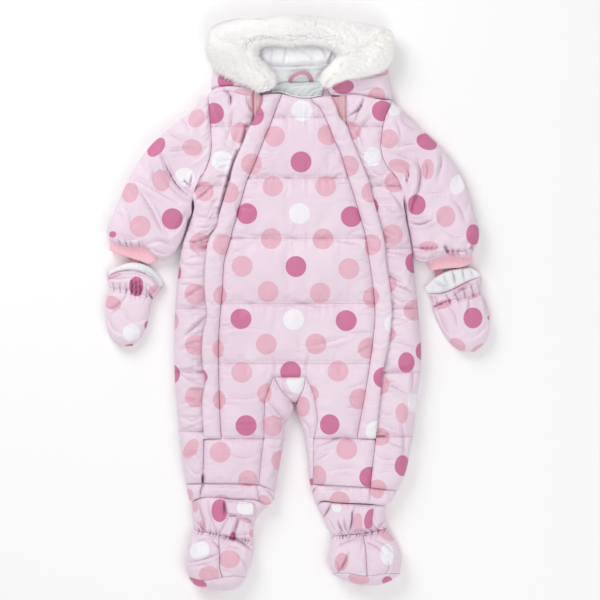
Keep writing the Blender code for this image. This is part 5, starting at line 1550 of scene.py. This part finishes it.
LEG_END_CREASES = {
    LEFT: {
        "band": (
            (203.4, 482, 202, 487, 200.6, 491, 200.5, 498, 2.6, 1.8),
            (256, 484, 258, 490, 258.6, 497, 259.5, 502, 1.8, 1.8),
            (265, 489, 271, 493, 274, 499, 1.4, 2.0), (212, 487, 226, 486, 240, 487, 0.8, 2.4),
        ),
        "ankle": (
            (224.6, 500, 224.4, 507, 224.8, 514, 3.0, 1.8),
            (200, 501, 201, 511, 205, 523, 204, 530, 2.0, 2.0),
            (209, 501, 210, 512, 215, 524, 217, 532, 1.2, 2.2),
            (239, 516, 236.5, 525, 233, 534, 2.4, 1.9), (244, 517, 250, 519, 253, 524, 1.8, 2.0),
            (233, 534, 242, 534, 252, 533, 1.6, 2.0), (196, 521, 202, 527, 207, 533, 1.8, 1.8),
        ),
        "outer": (
            (189, 561.4, 205, 558, 220, 552, 2.4, 2.4), (213, 540, 217, 544, 221, 549, 1.8, 2.0),
            (195, 543, 201, 539, 206, 537, 1.2, 2.2), (193, 566, 204, 563, 214, 566, 1.0, 2.4),
        ),
        "inner": (
            (231, 537, 241, 541, 252, 550, 3.4, 2.4), (240, 556, 246, 564, 246, 572, 1.2, 2.6),
            (226, 547, 232, 545, 240, 548, 1.0, 2.4),
        ),
    },
    RIGHT: {
        "band": (
            (369.6, 488, 370, 494, 369.4, 501, 1.6, 1.8), (316, 486, 313, 491, 312, 497, 2.4, 1.8),
            (393, 488, 396, 491, 394, 497, 1.4, 1.8), (324, 489, 338, 488, 352, 489, 0.8, 2.4),
        ),
        "ankle": (
            (331, 503, 328, 509, 323.6, 516, 3.0, 1.9), (352, 512, 352, 521, 349, 530, 3.0, 1.9),
            (338, 520, 340, 527, 343, 531, 2.2, 1.7), (344, 519, 345, 527, 347, 531, 1.8, 1.6),
            (377, 529, 381, 524, 385, 520, 1.6, 2.0), (329, 518, 333, 526, 336, 531, 1.2, 2.0),
        ),
        "inner": (
            (348, 553, 344, 562, 338.6, 571, 2.6, 2.2), (338, 545, 346, 541, 355, 538, 1.4, 2.2),
            (337, 574, 339, 568, 337, 562, 1.6, 1.8),
        ),
        "outer": (
            (367, 541, 376, 546, 383, 552, 1.8, 2.2), (377, 540, 387, 545, 394, 553, 1.4, 2.4),
            (385, 574, 389, 568, 388, 560, 1.2, 2.2),
        ),
    },
}
ANKLE_TABS = {
    "bootie_tab_left": (
        5 * MM, ((-101, -277), (-80, -277), (-60, -279)), ((-98, -293), (-80, -296), (-58, -297)),
    ),
    "bootie_strap_left": (4.5 * MM, ((-97, -298), (-84, -298)), ((-109, -322), (-94, -325))),
    "bootie_strap_right": (2.5 * MM, ((78, -283), (106, -285)), ((76, -318), (103, -315))),
}


def gathered(z, run, away, inwards, depth, seed):
    """Adds the folds that an elastic gathers beside it."""
    folds = pleats(run, 6.5 * MM, seed) * np.exp(-away / (9 * MM))
    folds += 0.55 * pleats(run, 14 * MM, seed + 3) * np.exp(-away / (20 * MM))
    return z + depth * folds * rounded(inwards, 9 * MM)


def height_on(pieces, x, y):
    """The height of the uppermost of these pieces at each place, and no less than 0."""
    trees = [BVHTree.FromObject(piece, bpy.context.evaluated_depsgraph_get()) for piece in pieces]

    def at(px, py):
        hits = [tree.ray_cast((px, py, 1), (0, 0, -1))[0] for tree in trees]
        return max([0.0] + [hit.z for hit in hits if hit])

    return np.vectorize(at)(x, y)


for which in (LEFT, RIGHT):
    name, dots, creases = NAMES[which], LEG_END_DOTS[which], LEG_END_CREASES[which]
    below = ((285 + 75 * which, 540),)
    shares = np.linspace(0, 1, 56)
    hem = resampled(BANDS[which]["top"], shares) + SEAM_SHIFT
    x, y = lofted(hem, resampled(BANDS[which]["bottom"], shares), 13)
    top, low = pillow(x, y, BAND_CROWN, 20 * MM, first=0.36, last=0.3, gathers=0.9, seed=4 + which)
    padded_piece("leg_band_" + name, x, y, top, low, dots["band"], below=below, creases=creases["band"],
                 cap=1.5 * MM)

    shares = np.linspace(0, 1, 52)
    ankle = ANKLES[which]
    x, y = patch(resampled(ankle["top"], shares) + SEAM_SHIFT, resampled(ankle["bottom"], shares),
                 ankle["left"], ankle["right"], 22)
    top, low = pillow(x, y, ANKLE_CROWN, 20 * MM, first=0.42, last=0.62, gathers=0.4, seed=which)
    left, right, _, up = runs(x, y)
    inwards = np.minimum(left, right)
    top = gathered(top, left, up, inwards, 3.2 * MM, 2.0 * which)
    top = np.minimum(top, ANKLE_CROWN + 1 * MM)
    padded_piece("ankle_" + name, x, y, top, low, dots["ankle"], below=below, creases=creases["ankle"],
                 growth=0.02, cap=1.5 * MM)

    foot = FEET[which]
    shares = np.linspace(0, 1, 61)
    top_shares, sole_shares = (np.interp(shares, (0, 0.5, 1), (0, middle, 1)) for middle in foot["seam_at"])
    seam_row = resampled(foot["sole_seam"], sole_shares)
    x, y = patch(resampled(foot["top"], top_shares) + SEAM_SHIFT, seam_row, foot["left"], foot["right"], 27)
    left, right, down, up = runs(x, y)
    inwards = np.minimum(left, right)
    rise = smooth((0, 0.18, 0.45, 0.75, 1), (0.22, 0.62, 0.93, 1, 0.88), np.linspace(0, 1, len(x)))[:, None]
    top = TUBE_MIDDLE + (FOOT_CROWN - TUBE_MIDDLE) * rounded(inwards, 30 * MM) * rise
    low = TUBE_MIDDLE * (1 - np.minimum(1, 1.2 * rounded(inwards, 22 * MM) * np.minimum(1, rise + 0.2)))
    low = np.maximum(low, LEAST_HEIGHT)
    top = gathered(top, left, down, inwards, 2.6 * MM, 2.0 * which)
    halves = ("outer", "inner")[::-which]
    for half, columns in zip(halves, (np.s_[:, :31], np.s_[:, 30:])):
        hx, hy, hz = x[columns].copy(), y[columns], top[columns]
        seam = -1 if columns[1].stop else 0
        hx[:, seam] += 0.2 * MM * (1 if seam == 0 else -1)
        seam_away = np.abs(hx - hx[:, seam][:, None])
        hz = TUBE_MIDDLE + (hz - TUBE_MIDDLE) * (1 - 0.16 * (1 - rounded(seam_away, 8 * MM)))
        hz = hz + puckers(hy, seam_away, 0.6 * MM, 6 * MM, 3.0 + seam)
        hz = hz + puckers(hx, up[columns], 0.6 * MM, 6 * MM, 1.0)
        padded_piece(f"bootie_{half}_{name}", hx, hy, hz, low[columns], dots[half], below=below,
                     creases=creases[half], cap=1.8 * MM)

    steps = np.linspace(0, 1, 10)
    seam_row[:, 1] -= 0.3 * MM
    x, y = lofted(seam_row, resampled(foot["sole_edge"], sole_shares), len(steps))
    round_down = np.sqrt(1 - steps[:, None] ** 2)
    sole_top = TUBE_MIDDLE + (top[-1] - TUBE_MIDDLE) * (0.94 * round_down + 0.02)
    sole_low = TUBE_MIDDLE - (TUBE_MIDDLE - low[-1]) * (0.98 * round_down)
    sole_top += puckers(x, runs(x, y)[2], 0.6 * MM, 5 * MM, 2.0)
    padded_piece("sole_" + name, x, y, np.maximum(sole_top, sole_low + 0.2 * MM), sole_low, dots["sole"],
                 below=below, cap=1 * MM)

for node, (thick, first, last) in ANKLE_TABS.items():
    which = LEFT if node.endswith("left") else RIGHT
    kind = "tab" if "_tab_" in node else "strap"
    x, y = stretched(first, last, 18, 16)
    left, right, down, up = runs(x, y)
    bed = height_on([made["ankle_" + NAMES[which]]], x, y)
    bed = 0.35 * bed + 0.65 * np.sort(bed, axis=None)[int(0.85 * bed.size)]
    rim = rounded(np.minimum.reduce([left, right, down + 2 * MM, up]), 1.8 * MM)
    top = bed + 0.8 * MM + thick * (0.25 + 0.75 * rim) + puckers(left, up, 0.3 * MM, 5 * MM, 2.0)
    padded_piece(node, x, y, top, bed + 0.3 * MM, LEG_END_DOTS[which][kind], cap=0.6 * MM)


# ---- hood -------------------------------------------------------------------------------------
# The hood is laid back with its face opening up. Its back lies on the floor and its two side walls
# on that, all of padded satin. A gathered lining of brushed fleece shows in the face opening.

HOOD_INSIDE, HOOD_SIDE_CROWN = 11 * MM, 25 * MM
HOOD_SIDES = {  # rows from the hood seam upwards, as the x and y of their two ends
    LEFT: ((-121, 300.6, -48, 292.6), (-120, 313, -39, 308), (-118, 334, -44, 323), (-120, 357, -59, 343),
           (-111, 377, -60, 356), (-80, 388, -47, 363), (-41, 392, -24, 367), (-1, 392, -1, 367)),
    RIGHT: ((132, 285, 47, 291), (131, 301, 41, 304), (127, 327, 40, 318), (130, 349, 52, 332),
            (130, 366, 61, 346), (108, 380, 51, 360), (52, 389, 29, 367), (0, 392, 0, 367)),
}
HOOD_BACK = (
    (-31, 392, 31, 392), (-87, 387, 74, 387), (-110, 378, 110, 378), (-119, 361, 131, 361),
    (-118, 340, 128, 340), (-119, 319, 127, 319), (-121, 296, 131, 296), (-122, 285, 130, 285),
)
HOOD_DOTS = {
    LEFT: {DEEP: ((226.3, 81, 8.4, 9),), PALE: ((246, 91.6, 9.5, 3, -16),)},
    RIGHT: {DEEP: ((343, 87, 11, 7.4),), PALE: ((376.5, 97.5, 8.6, 9.4), (381.5, 72, 9.5, 4.4, 14))},
}
HOOD_CREASES = {
    LEFT: (
        (212, 89, 224, 87, 236, 87.5, 248, 90.5, 258, 94, 2.4, 2.2),
        (214, 73, 221, 78, 230, 80, 1.2, 3.0), (238, 83, 246, 85, 252, 90, 1.2, 2.6),
    ),
    RIGHT: (
        (333, 93.5, 350, 95.5, 372, 97, 388, 98, 2.0, 2.2), (347, 81, 362, 78, 384, 75, 1.8, 2.4),
        (359, 91, 372, 88, 386, 90, 1.0, 3.0),
    ),
}
LINING = (
    (-21, 367, 21, 367), (-46, 361, 46, 361), (-56, 353, 55, 353), (-57, 343, 56, 343),
    (-48, 331, 48, 331), (-41, 320, 39, 320), (-37, 311, 38, 311),
)
LINING_CREASES = (
    (258, 52, 258.5, 57, 261, 62, 3.0, 2.6), (271, 46, 272.5, 53, 271, 64, 1.4, 3.4),
    (284.5, 45, 285.5, 54, 284, 64, 1.8, 2.4), (303, 52, 310, 57, 316, 63, 1.2, 3.6),
    (319, 45, 323, 51, 327, 58, 330, 64, 1.8, 3.0), (334, 49, 331, 56, 329, 64, 2.6, 2.2),
    (259, 60, 267, 65.6, 285, 67, 302, 66, 318, 65.4, 332, 63.5, 2.2, 2.6),
    (270, 68, 272, 76, 270, 86, 1.2, 3.4), (325, 70, 318, 77, 314, 84, 0.9, 3.0),
)


def rows_between(rows, columns, step=2.8 * MM):
    """A fine grid between rows given by their two ends."""
    return refined(*between(rows, np.linspace(0, 1, columns)), step)


x, y = rows_between(HOOD_BACK, 64)
outline = [*zip(x[::-1, 0], y[::-1, 0]), *zip(x[0], y[0]), *zip(x[:, -1], y[:, -1])]
inwards = to_line(x, y, outline)[0]
low = (HOOD_INSIDE - 1 * MM) * (1 - np.minimum(1, 1.15 * rounded(inwards, 20 * MM)))
fading = rounded(inwards, 30 * MM) * np.exp(-inwards / (40 * MM))
low += 0.8 * MM * np.clip(uneven(x + 0.6 * y, 1.2), 0, 1) * fading
padded_wall("hood_back_cloth", "hood_back", 0.6, x, y, HOOD_INSIDE, np.maximum(low, LEAST_HEIGHT), satin,
            "shell", print=[repeated(x, y, (320, 66), 0.1)])

inside = HOOD_INSIDE + 0.4 * MM
for which in (LEFT, RIGHT):
    x, y = rows_between(HOOD_SIDES[which], 26)
    left, _, down, _ = runs(x, y)
    top = inside + 1 * MM + (HOOD_SIDE_CROWN - inside - 1 * MM) * rounded(left, 20 * MM)
    top = inside + (top - inside) * (1 - 0.35 * (1 - rounded(down, 8 * MM)))
    top += puckers(x, down, 0.7 * MM, 8 * MM, 2.0) * rounded(left, 12 * MM)
    padded_piece("hood_side_" + NAMES[which], x, y, top, inside, HOOD_DOTS[which],
                 creases=HOOD_CREASES[which], cap=1.2 * MM)

x, y = rows_between(LINING, 90, 1.5 * MM)
left, right, _, _ = runs(x, y)
roll = np.clip((y - 331 * MM) / (35 * MM), 0, 1)
rolled = np.sin(np.pi * roll ** 0.8) ** 0.55
top = inside + 2.2 * MM + 7.2 * MM * rolled * rounded(np.minimum(left, right), 12 * MM)
top += 0.9 * MM * uneven(x * 0.6, 1.0) * rolled + 0.5 * MM * uneven(x * 0.4 + y, 4.0) * (1 - rolled)
top = np.maximum(creased(x, y, top, LINING_CREASES), inside + 0.9 * MM)
# Painted shade: the lining is greyer below its roll, where the roll shades it.
painted_shade = np.clip((336 * MM - y) / (8 * MM), 0, 1)
sheet_of("hood_fleece", "hood_lining", x, y, top, inside, fleece, "fleece", (0.13, 0.062), ["hood_back"],
         "gathered", print=[painted_shade_print(painted_shade)], fold=[fold_shade_lines(x, y, LINING_CREASES)])


# ---- fur trim ---------------------------------------------------------------------------------
# A strip of white imitation fur with a deep soft pile is sewn round the face opening.
# The pile is thousands of small locks of fine hair on a padded strip, and parts along its inner edge.

FUR_CROWN, FUR_REACH = 41 * MM, 6.2 * MM
FUR_PIECES, LOCKS_PER_SQUARE_METRE = 4, 380000
SWINGS, SIZES = (-0.35, 0.35), (0.7, 1.05)  # of the locks: how far they turn from the pile, and how big
FUR = (  # sections from the left tip over the top to the right tip: outer end, inner end
    (-51, 293, -45, 296), (-68, 304, -35, 304), (-96, 318, -34, 314), (-118, 334, -47, 329),
    (-127, 357, -57, 343), (-120, 382, -58, 355), (-93, 395, -54, 360), (-50, 399, -32, 364),
    (3, 401, -4, 364), (52, 396, 32, 365), (104, 387, 51, 357), (132, 375, 59, 346),
    (135, 352, 51, 335), (124, 329, 40, 321), (88, 318, 37, 311), (58, 312, 38, 306), (47, 304, 42, 301),
)
FUR_VALLEYS = (
    (((390, 32), (374, 41), (358, 51), (344, 58)), 2.6, 6.0),
    (((208, 36), (222, 42), (238, 47), (254, 52)), 1.6, 6.0),
)


def fur_hair():
    """White imitation fur: each lock a little warmer or greyer than the next, matt and soft.

    Its hairs take half their shading direction from the strip they grow on, and a painted glow lightens
    them, more so on the right of the suit.
    """
    r = Recipe("imitation_fur")
    lock = r.add("ShaderNodeTexVoronoi", {"feature": "F1"}, {"Vector": r.place, "Scale": 330}, "Color")
    cloudy = r.noise(26, 3)
    colour = r.blend(cloudy.between(0.35, 0.7), dye(247, 246, 246), dye(254, 252, 248))
    colour = r.blend(r.add("ShaderNodeSeparateXYZ", (), {0: lock}) * 0.3, colour, dye(232, 229, 226))
    rightwards = r.add("ShaderNodeSeparateXYZ", (), {0: r.place})
    # Painted light: the hairs glow, greyish white on the left and brighter white on the right.
    painted_glow = r.blend(rightwards.between(0, 0.1), dye(230, 227, 228), dye(251, 250, 248))
    strip = r.add("ShaderNodeAttribute", {"attribute_name": "out"}, output="Vector")
    own = r.add("ShaderNodeNewGeometry", output="Normal")
    facing = r.add("ShaderNodeMix", {"data_type": "VECTOR"}, {0: 0.5, 4: own, 5: strip}, output=1)
    facing = r.add("ShaderNodeVectorMath", {"operation": "NORMALIZE"}, {0: facing})
    return r.finish(Base_Color=colour, Roughness=cloudy * 0.1 + 0.8, Sheen_Weight=0.3, Sheen_Roughness=0.5,
                    Specular_IOR_Level=0.2, Emission_Color=painted_glow, Emission_Strength=0.34, Normal=facing)


def lock_of_hair(hairs, length, width, rise, seed):
    """A few flat tapering hairs from one root, which rise along +Z at first and then lean along +X."""
    rng = np.random.default_rng(seed)
    vertices, faces = [], []
    for _ in range(hairs):
        root = np.array([*rng.uniform(-1.0, 1.0, 2) * MM, 0])
        spread, reach = rng.normal(0, 0.3), length * rng.uniform(0.75, 1.1)
        first = len(vertices)
        for t, thick in ((0, 1.0), (0.55, 0.9)):
            centre = root + reach * np.array([t ** 1.5, spread * t ** 1.5, rise * (2 - t) * t])
            over = np.array([rise * (2 - 2 * t), 0, -1.5 * t ** 0.5])
            over /= np.linalg.norm(over)
            for k in range(3):
                a = 2 * np.pi * k / 3
                offset = 0.35 * np.cos(a) * over + np.array([0, np.sin(a), 0])
                vertices.append(tuple(centre + offset * width / 2 * thick))
        vertices.append(tuple(root + reach * np.array([1, spread, rise])))
        for k in range(3):
            a, b = first + k, first + (k + 1) % 3
            faces += [(a, b, b + 3, a + 3), (a + 3, b + 3, first + 6)]
        faces.append((first + 2, first + 1, first))
    return vertices, faces


def furred(name, base, lock, hair, per_square_metre, seed, slot):
    """Locks of hair all over the top of a strip. Its "grow" and "pile" say which way they rise and lean."""
    m = Maker(name, Locks="Float", Seed="Int", Lock="Object", Finish="Material")
    face = m.add("GeometryNodeInputNormal")
    upper = m.add("FunctionNodeCompare", {"data_type": "FLOAT", "operation": "GREATER_THAN"},
                  {0: m.add("ShaderNodeSeparateXYZ", (), {0: face}, output="Z"), 1: 0.05})
    sown = {"Mesh": m["Start"], "Selection": upper, "Density": m["Locks"], "Seed": m["Seed"]}
    spots = m.add("GeometryNodeDistributePointsOnFaces", {"distribute_method": "RANDOM"}, sown, "Points")
    grow, pile = (m.add("GeometryNodeInputNamedAttribute", {"data_type": "FLOAT_VECTOR"}, {"Name": label})
                  for label in ("grow", "pile"))
    swing, size = (m.add("FunctionNodeRandomValue", {"data_type": "FLOAT"},
                         {2: least, 3: most, "Seed": m["Seed"]}, 1) for least, most in (SWINGS, SIZES))
    turned = m.aimed("Z", grow, "X", pile, swing)
    shape = m.add("GeometryNodeObjectInfo", (), {"Object": m["Lock"]}, "Geometry")
    placed = m.add("GeometryNodeInstanceOnPoints", (),
                   {"Points": spots, "Instance": shape, "Rotation": turned, "Scale": size})
    m.run(placed, base, slot, Locks=per_square_metre, Seed=seed, Lock=lock, Finish=hair)


fur = fur_hair()
x, y = rows_between(FUR, 33, 3 * MM)
left, right, down, _ = runs(x, y)
width = left[:, -1:]
swell = rounded(np.minimum(left, right), width / 2) * np.clip(width / (44 * MM), 0.35, 1)
fur_low = HOOD_SIDE_CROWN + 0.4 * MM
top = fur_low + 2 * MM + (FUR_CROWN - fur_low) * swell
top += 0.4 * MM * uneven(down * 0.5 + left * 0.3, 2.0) * swell
top = creased(x, y, top, FUR_VALLEYS)
inner = left / width
across = np.stack([x[:, -1] - x[:, 0], y[:, -1] - y[:, 0]], axis=-1)[:, None, :]
set_in = np.clip(FUR_REACH / np.maximum(width, 12 * MM) * (1 - inner * 1.35), -0.02, 0.4)
x_in, y_in = x + across[..., 0] * set_in, y + across[..., 1] * set_in
padded_wall("fur_strip", "fur_trim", 0.6, x_in, y_in, top, fur_low, fur, "fur")

run_u = np.maximum(np.hypot(np.gradient(x_in, axis=1), np.gradient(y_in, axis=1)), 1e-6)
outwards = -across / np.linalg.norm(across, axis=-1, keepdims=True) * np.ones((*x.shape, 1))
tilt = (np.gradient(top, axis=1) / run_u)[..., None]
normals = np.concatenate([outwards * tilt, np.ones((*x.shape, 1))], axis=-1)
normals /= np.linalg.norm(normals, axis=-1, keepdims=True)
parted = np.tanh((0.80 - inner) * 6)[..., None]
swirl = np.stack([np.sin(down * 60 + 3 * left * 30), np.cos(down * 47), 0 * down], axis=-1)
pile = np.concatenate([outwards, np.zeros((*x.shape, 1))], axis=-1) * parted + 0.15 * swirl
grow = normals + 0.35 * pile
for number in range(FUR_PIECES):
    rows = slice(number * (len(x) - 1) // FUR_PIECES, (number + 1) * (len(x) - 1) // FUR_PIECES + 1)
    name = f"fur_{number + 1}"
    base = wall(name, x_in[rows], y_in[rows], top[rows], top[rows] - 0.3 * MM, fur, "fur",
                out=[normals[rows]], pile=[pile[rows]], grow=[grow[rows]])
    lock = loose(name + "_lock", *lock_of_hair(6, 12.5 * MM, 0.66 * MM, 0.5, number))
    furred(name, base, lock, fur, LOCKS_PER_SQUARE_METRE, number, "fur")
    bpy.data.objects.remove(lock)


# ---- neck -------------------------------------------------------------------------------------
# Inside the back neck a fleece facing shows, with a white binding along the neckline below it.
# A narrow satin loop to hang the suit up by comes out of the seam across the facing.

FACING = {
    "top": ((-37, 312), (0, 312), (38, 312)),
    "bottom": ((-36, 296), (-22, 295), (-10, 292), (4, 289), (20, 289), (34, 291)),
}
BINDING = {
    "top": ((-36, 296), (-22, 296), (-10, 292.4), (4, 289.4), (20, 289.4), (34, 291.4)),
    "bottom": ((-36, 293), (-22, 293.6), (-10, 289.6), (4, 286.6), (20, 286.6), (34, 289.4)),
}
HANGER_LOOP = ((-11, 309), (-8, 315), (-1, 320), (7, 322), (14, 320), (18, 315), (19, 310))
LOOP_HEIGHT, LOOP_WIDTH = 23 * MM, 5.6 * MM
FACING_CREASES = (
    (272, 86, 279, 83.8, 288, 82.4, 300, 83, 310, 81.8, 322, 82, 3.0, 1.4),
    (283, 94, 288, 89, 296, 87, 1.2, 1.8), (308, 95, 313, 90, 321, 88, 1.4, 1.8),
    (276, 74, 279, 78, 277, 82, 1.0, 2.0), (312, 70, 316, 75, 323, 78, 0.9, 2.0),
)

x, y = refined(*stretched(FACING["top"], FACING["bottom"], 60, 16), 0.8 * MM)
left, _, down, up = runs(x, y)
top = inside + 1.6 * MM + 1.4 * MM * rounded(np.minimum(down, up), 6 * MM)
top += 0.5 * MM * uneven(left + down, 3.0)
top = np.maximum(creased(x, y, top, FACING_CREASES), inside + 0.8 * MM)
# Painted shade: the whole facing is grey, and greyer along its lower band.
painted_shade = 1 + 0.4 * np.clip((down - 10 * MM) / (2 * MM), 0, 1)
sheet_of("collar_fleece", "collar_facing", x, y, top, inside, fleece, "fleece", (0.075, 0.021),
         ["hood_back"], print=[painted_shade_print(painted_shade)], fold=[fold_shade_lines(x, y, FACING_CREASES)])

x, y = stretched(BINDING["top"], BINDING["bottom"], 70, 9)
left, _, down, up = runs(x, y)
top = inside + 3.6 * MM + 4.6 * MM * rounded(np.minimum(down + 0.3 * MM, up + 0.3 * MM), 1.6 * MM)
top += 0.5 * MM * uneven(left * 0.7, 5.0)
binding = sheet_of("neck_binding_cloth", "neck_binding", x, y, top, inside + 2.6 * MM, fleece, "fleece",
                   (0.072, 0.01), ["collar_facing"], "folded")

line = resampled(HANGER_LOOP, np.linspace(0, 1, 40))
length = round(float(np.linalg.norm(np.diff(line, axis=0), axis=1).sum()), 3)
heading = np.gradient(line, axis=0)
heading /= np.linalg.norm(heading, axis=1, keepdims=True)
across = np.stack([-heading[:, 1], heading[:, 0]], axis=-1)
spread = np.linspace(1, -1, 7)[None, :, None] * LOOP_WIDTH / 2
x, y = np.moveaxis(line[:, None, :] + across[:, None, :] * spread, -1, 0)
arch = np.sin(np.linspace(0, np.pi, 40))[:, None] ** 0.5
top = 14.6 * MM + (LOOP_HEIGHT - 13.6 * MM) * arch + 0.3 * MM * (1 - np.linspace(-1, 1, 7)[None, :] ** 2)
loop_print = np.full((*top.shape, 3), (-5, 0.46, 0))
# Painted shade on the loop: darker all over, most at its ends where they go down into the seam.
loop_shade = np.zeros((*top.shape, 3))
loop_shade[..., 1] = 1.35 - 0.6 * arch
sheet_of("hanger_loop_cloth", "hanger_loop", x, y, top, top - 0.9 * MM, satin, "shell", (0.01, length),
         ["collar_facing"], "hung", print=[loop_print], fold=[loop_shade])


# ---- stitches ---------------------------------------------------------------------------------
# Lockstitches of mauve polyester thread: rows that quilt the panels and inside legs, that hold the
# elastic of mittens and ankles, and that edge the straps, the mitten rims and the neck binding.

STITCH_PITCH = 3.2 * MM
STITCH = rod(2.4 * MM, 0.5 * MM, 0.4 * MM, sides=4, rings=(0, 0.5, 1), swell=(0.3, 1, 0.3))


def sewing_thread():
    """Twisted polyester thread, mauve and slightly glossy."""
    r = Recipe("sewing_thread")
    cloudy = r.noise(300, 2)
    colour = r.blend(cloudy, dye(190, 144, 172), dye(208, 166, 190))
    return r.finish(Base_Color=colour, Roughness=cloudy * 0.1 + 0.45)


def moved(line, across, up):
    return [(x + across, y + up) for x, y in line]


def stitched(name, pieces, lines):
    """Rows of stitches along lines in millimetres, wherever one of these pieces lies below them."""
    counts = [int(np.hypot(*np.diff(np.array(line, float), axis=0).T).sum() / 1.5) + 3 for line in lines]
    places = [resampled(line, np.linspace(0, 1, count)) for line, count in zip(lines, counts)]
    heights = np.split(height_on(pieces, *np.vstack(places).T), np.cumsum(counts)[:-1])
    rows = []
    for place, height in zip(places, heights):
        there = height > 3 * MM
        row = np.column_stack([place, height + 0.12 * MM])
        parts = np.split(np.arange(len(row)), np.flatnonzero(np.diff(there)) + 1)
        rows += [row[part] for part in parts if there[part[0]] and len(part) > 3]
    repeated_along(name, rows, STITCH, STITCH_PITCH, thread, "shell")


thread = sewing_thread()
stitched("stitches_front", [made[node] for node in ("front_centre", "inner_leg_left", "inner_leg_right")],
         [((-100, line), (0, line), (100, line)) for line in FRONT_QUILTS])
stitched("stitches_binding", [binding], [moved(BINDING["bottom"], 0, 1)])
for which in (LEFT, RIGHT):
    name = NAMES[which]
    rows = []
    for line in SIDE_QUILTS[which]:
        flap_at = float(flap_line("edge_" + name, line * MM)) / MM + 1.5 * which
        rows.append(((which * 178, line), (which * 120, line), (flap_at, line)))
    stitched("stitches_side_" + name, [made["side_front_" + name]], rows)
    elastic = [tuple(place / MM) for place in chart(*MITTEN_ELASTICS[which])]
    stitched("stitches_mitten_" + name, [made["mitten_front_" + name]],
             [moved(elastic, 0, 1), moved(elastic, 0, -3.4), moved(MITTEN_RIMS[which]["front"], 0, -4)])
    shaft = [made[f"{node}_{name}"] for node in ("ankle", "bootie_outer", "bootie_inner")]
    stitched("stitches_ankle_" + name, shaft,
             [moved(ANKLES[which]["bottom"], 0, 3), moved(FEET[which]["top"], 0, -3)])
for node, (_, first, last) in ANKLE_TABS.items():
    corners = np.array([first[0], first[-1], last[-1], last[0]], float)
    centre = corners.mean(axis=0)
    corners += 2.6 * (centre - corners) / np.linalg.norm(centre - corners, axis=1, keepdims=True)
    stitched("stitches_" + node, [made[node]], [corners[[k, k - 1]] for k in range(4)])
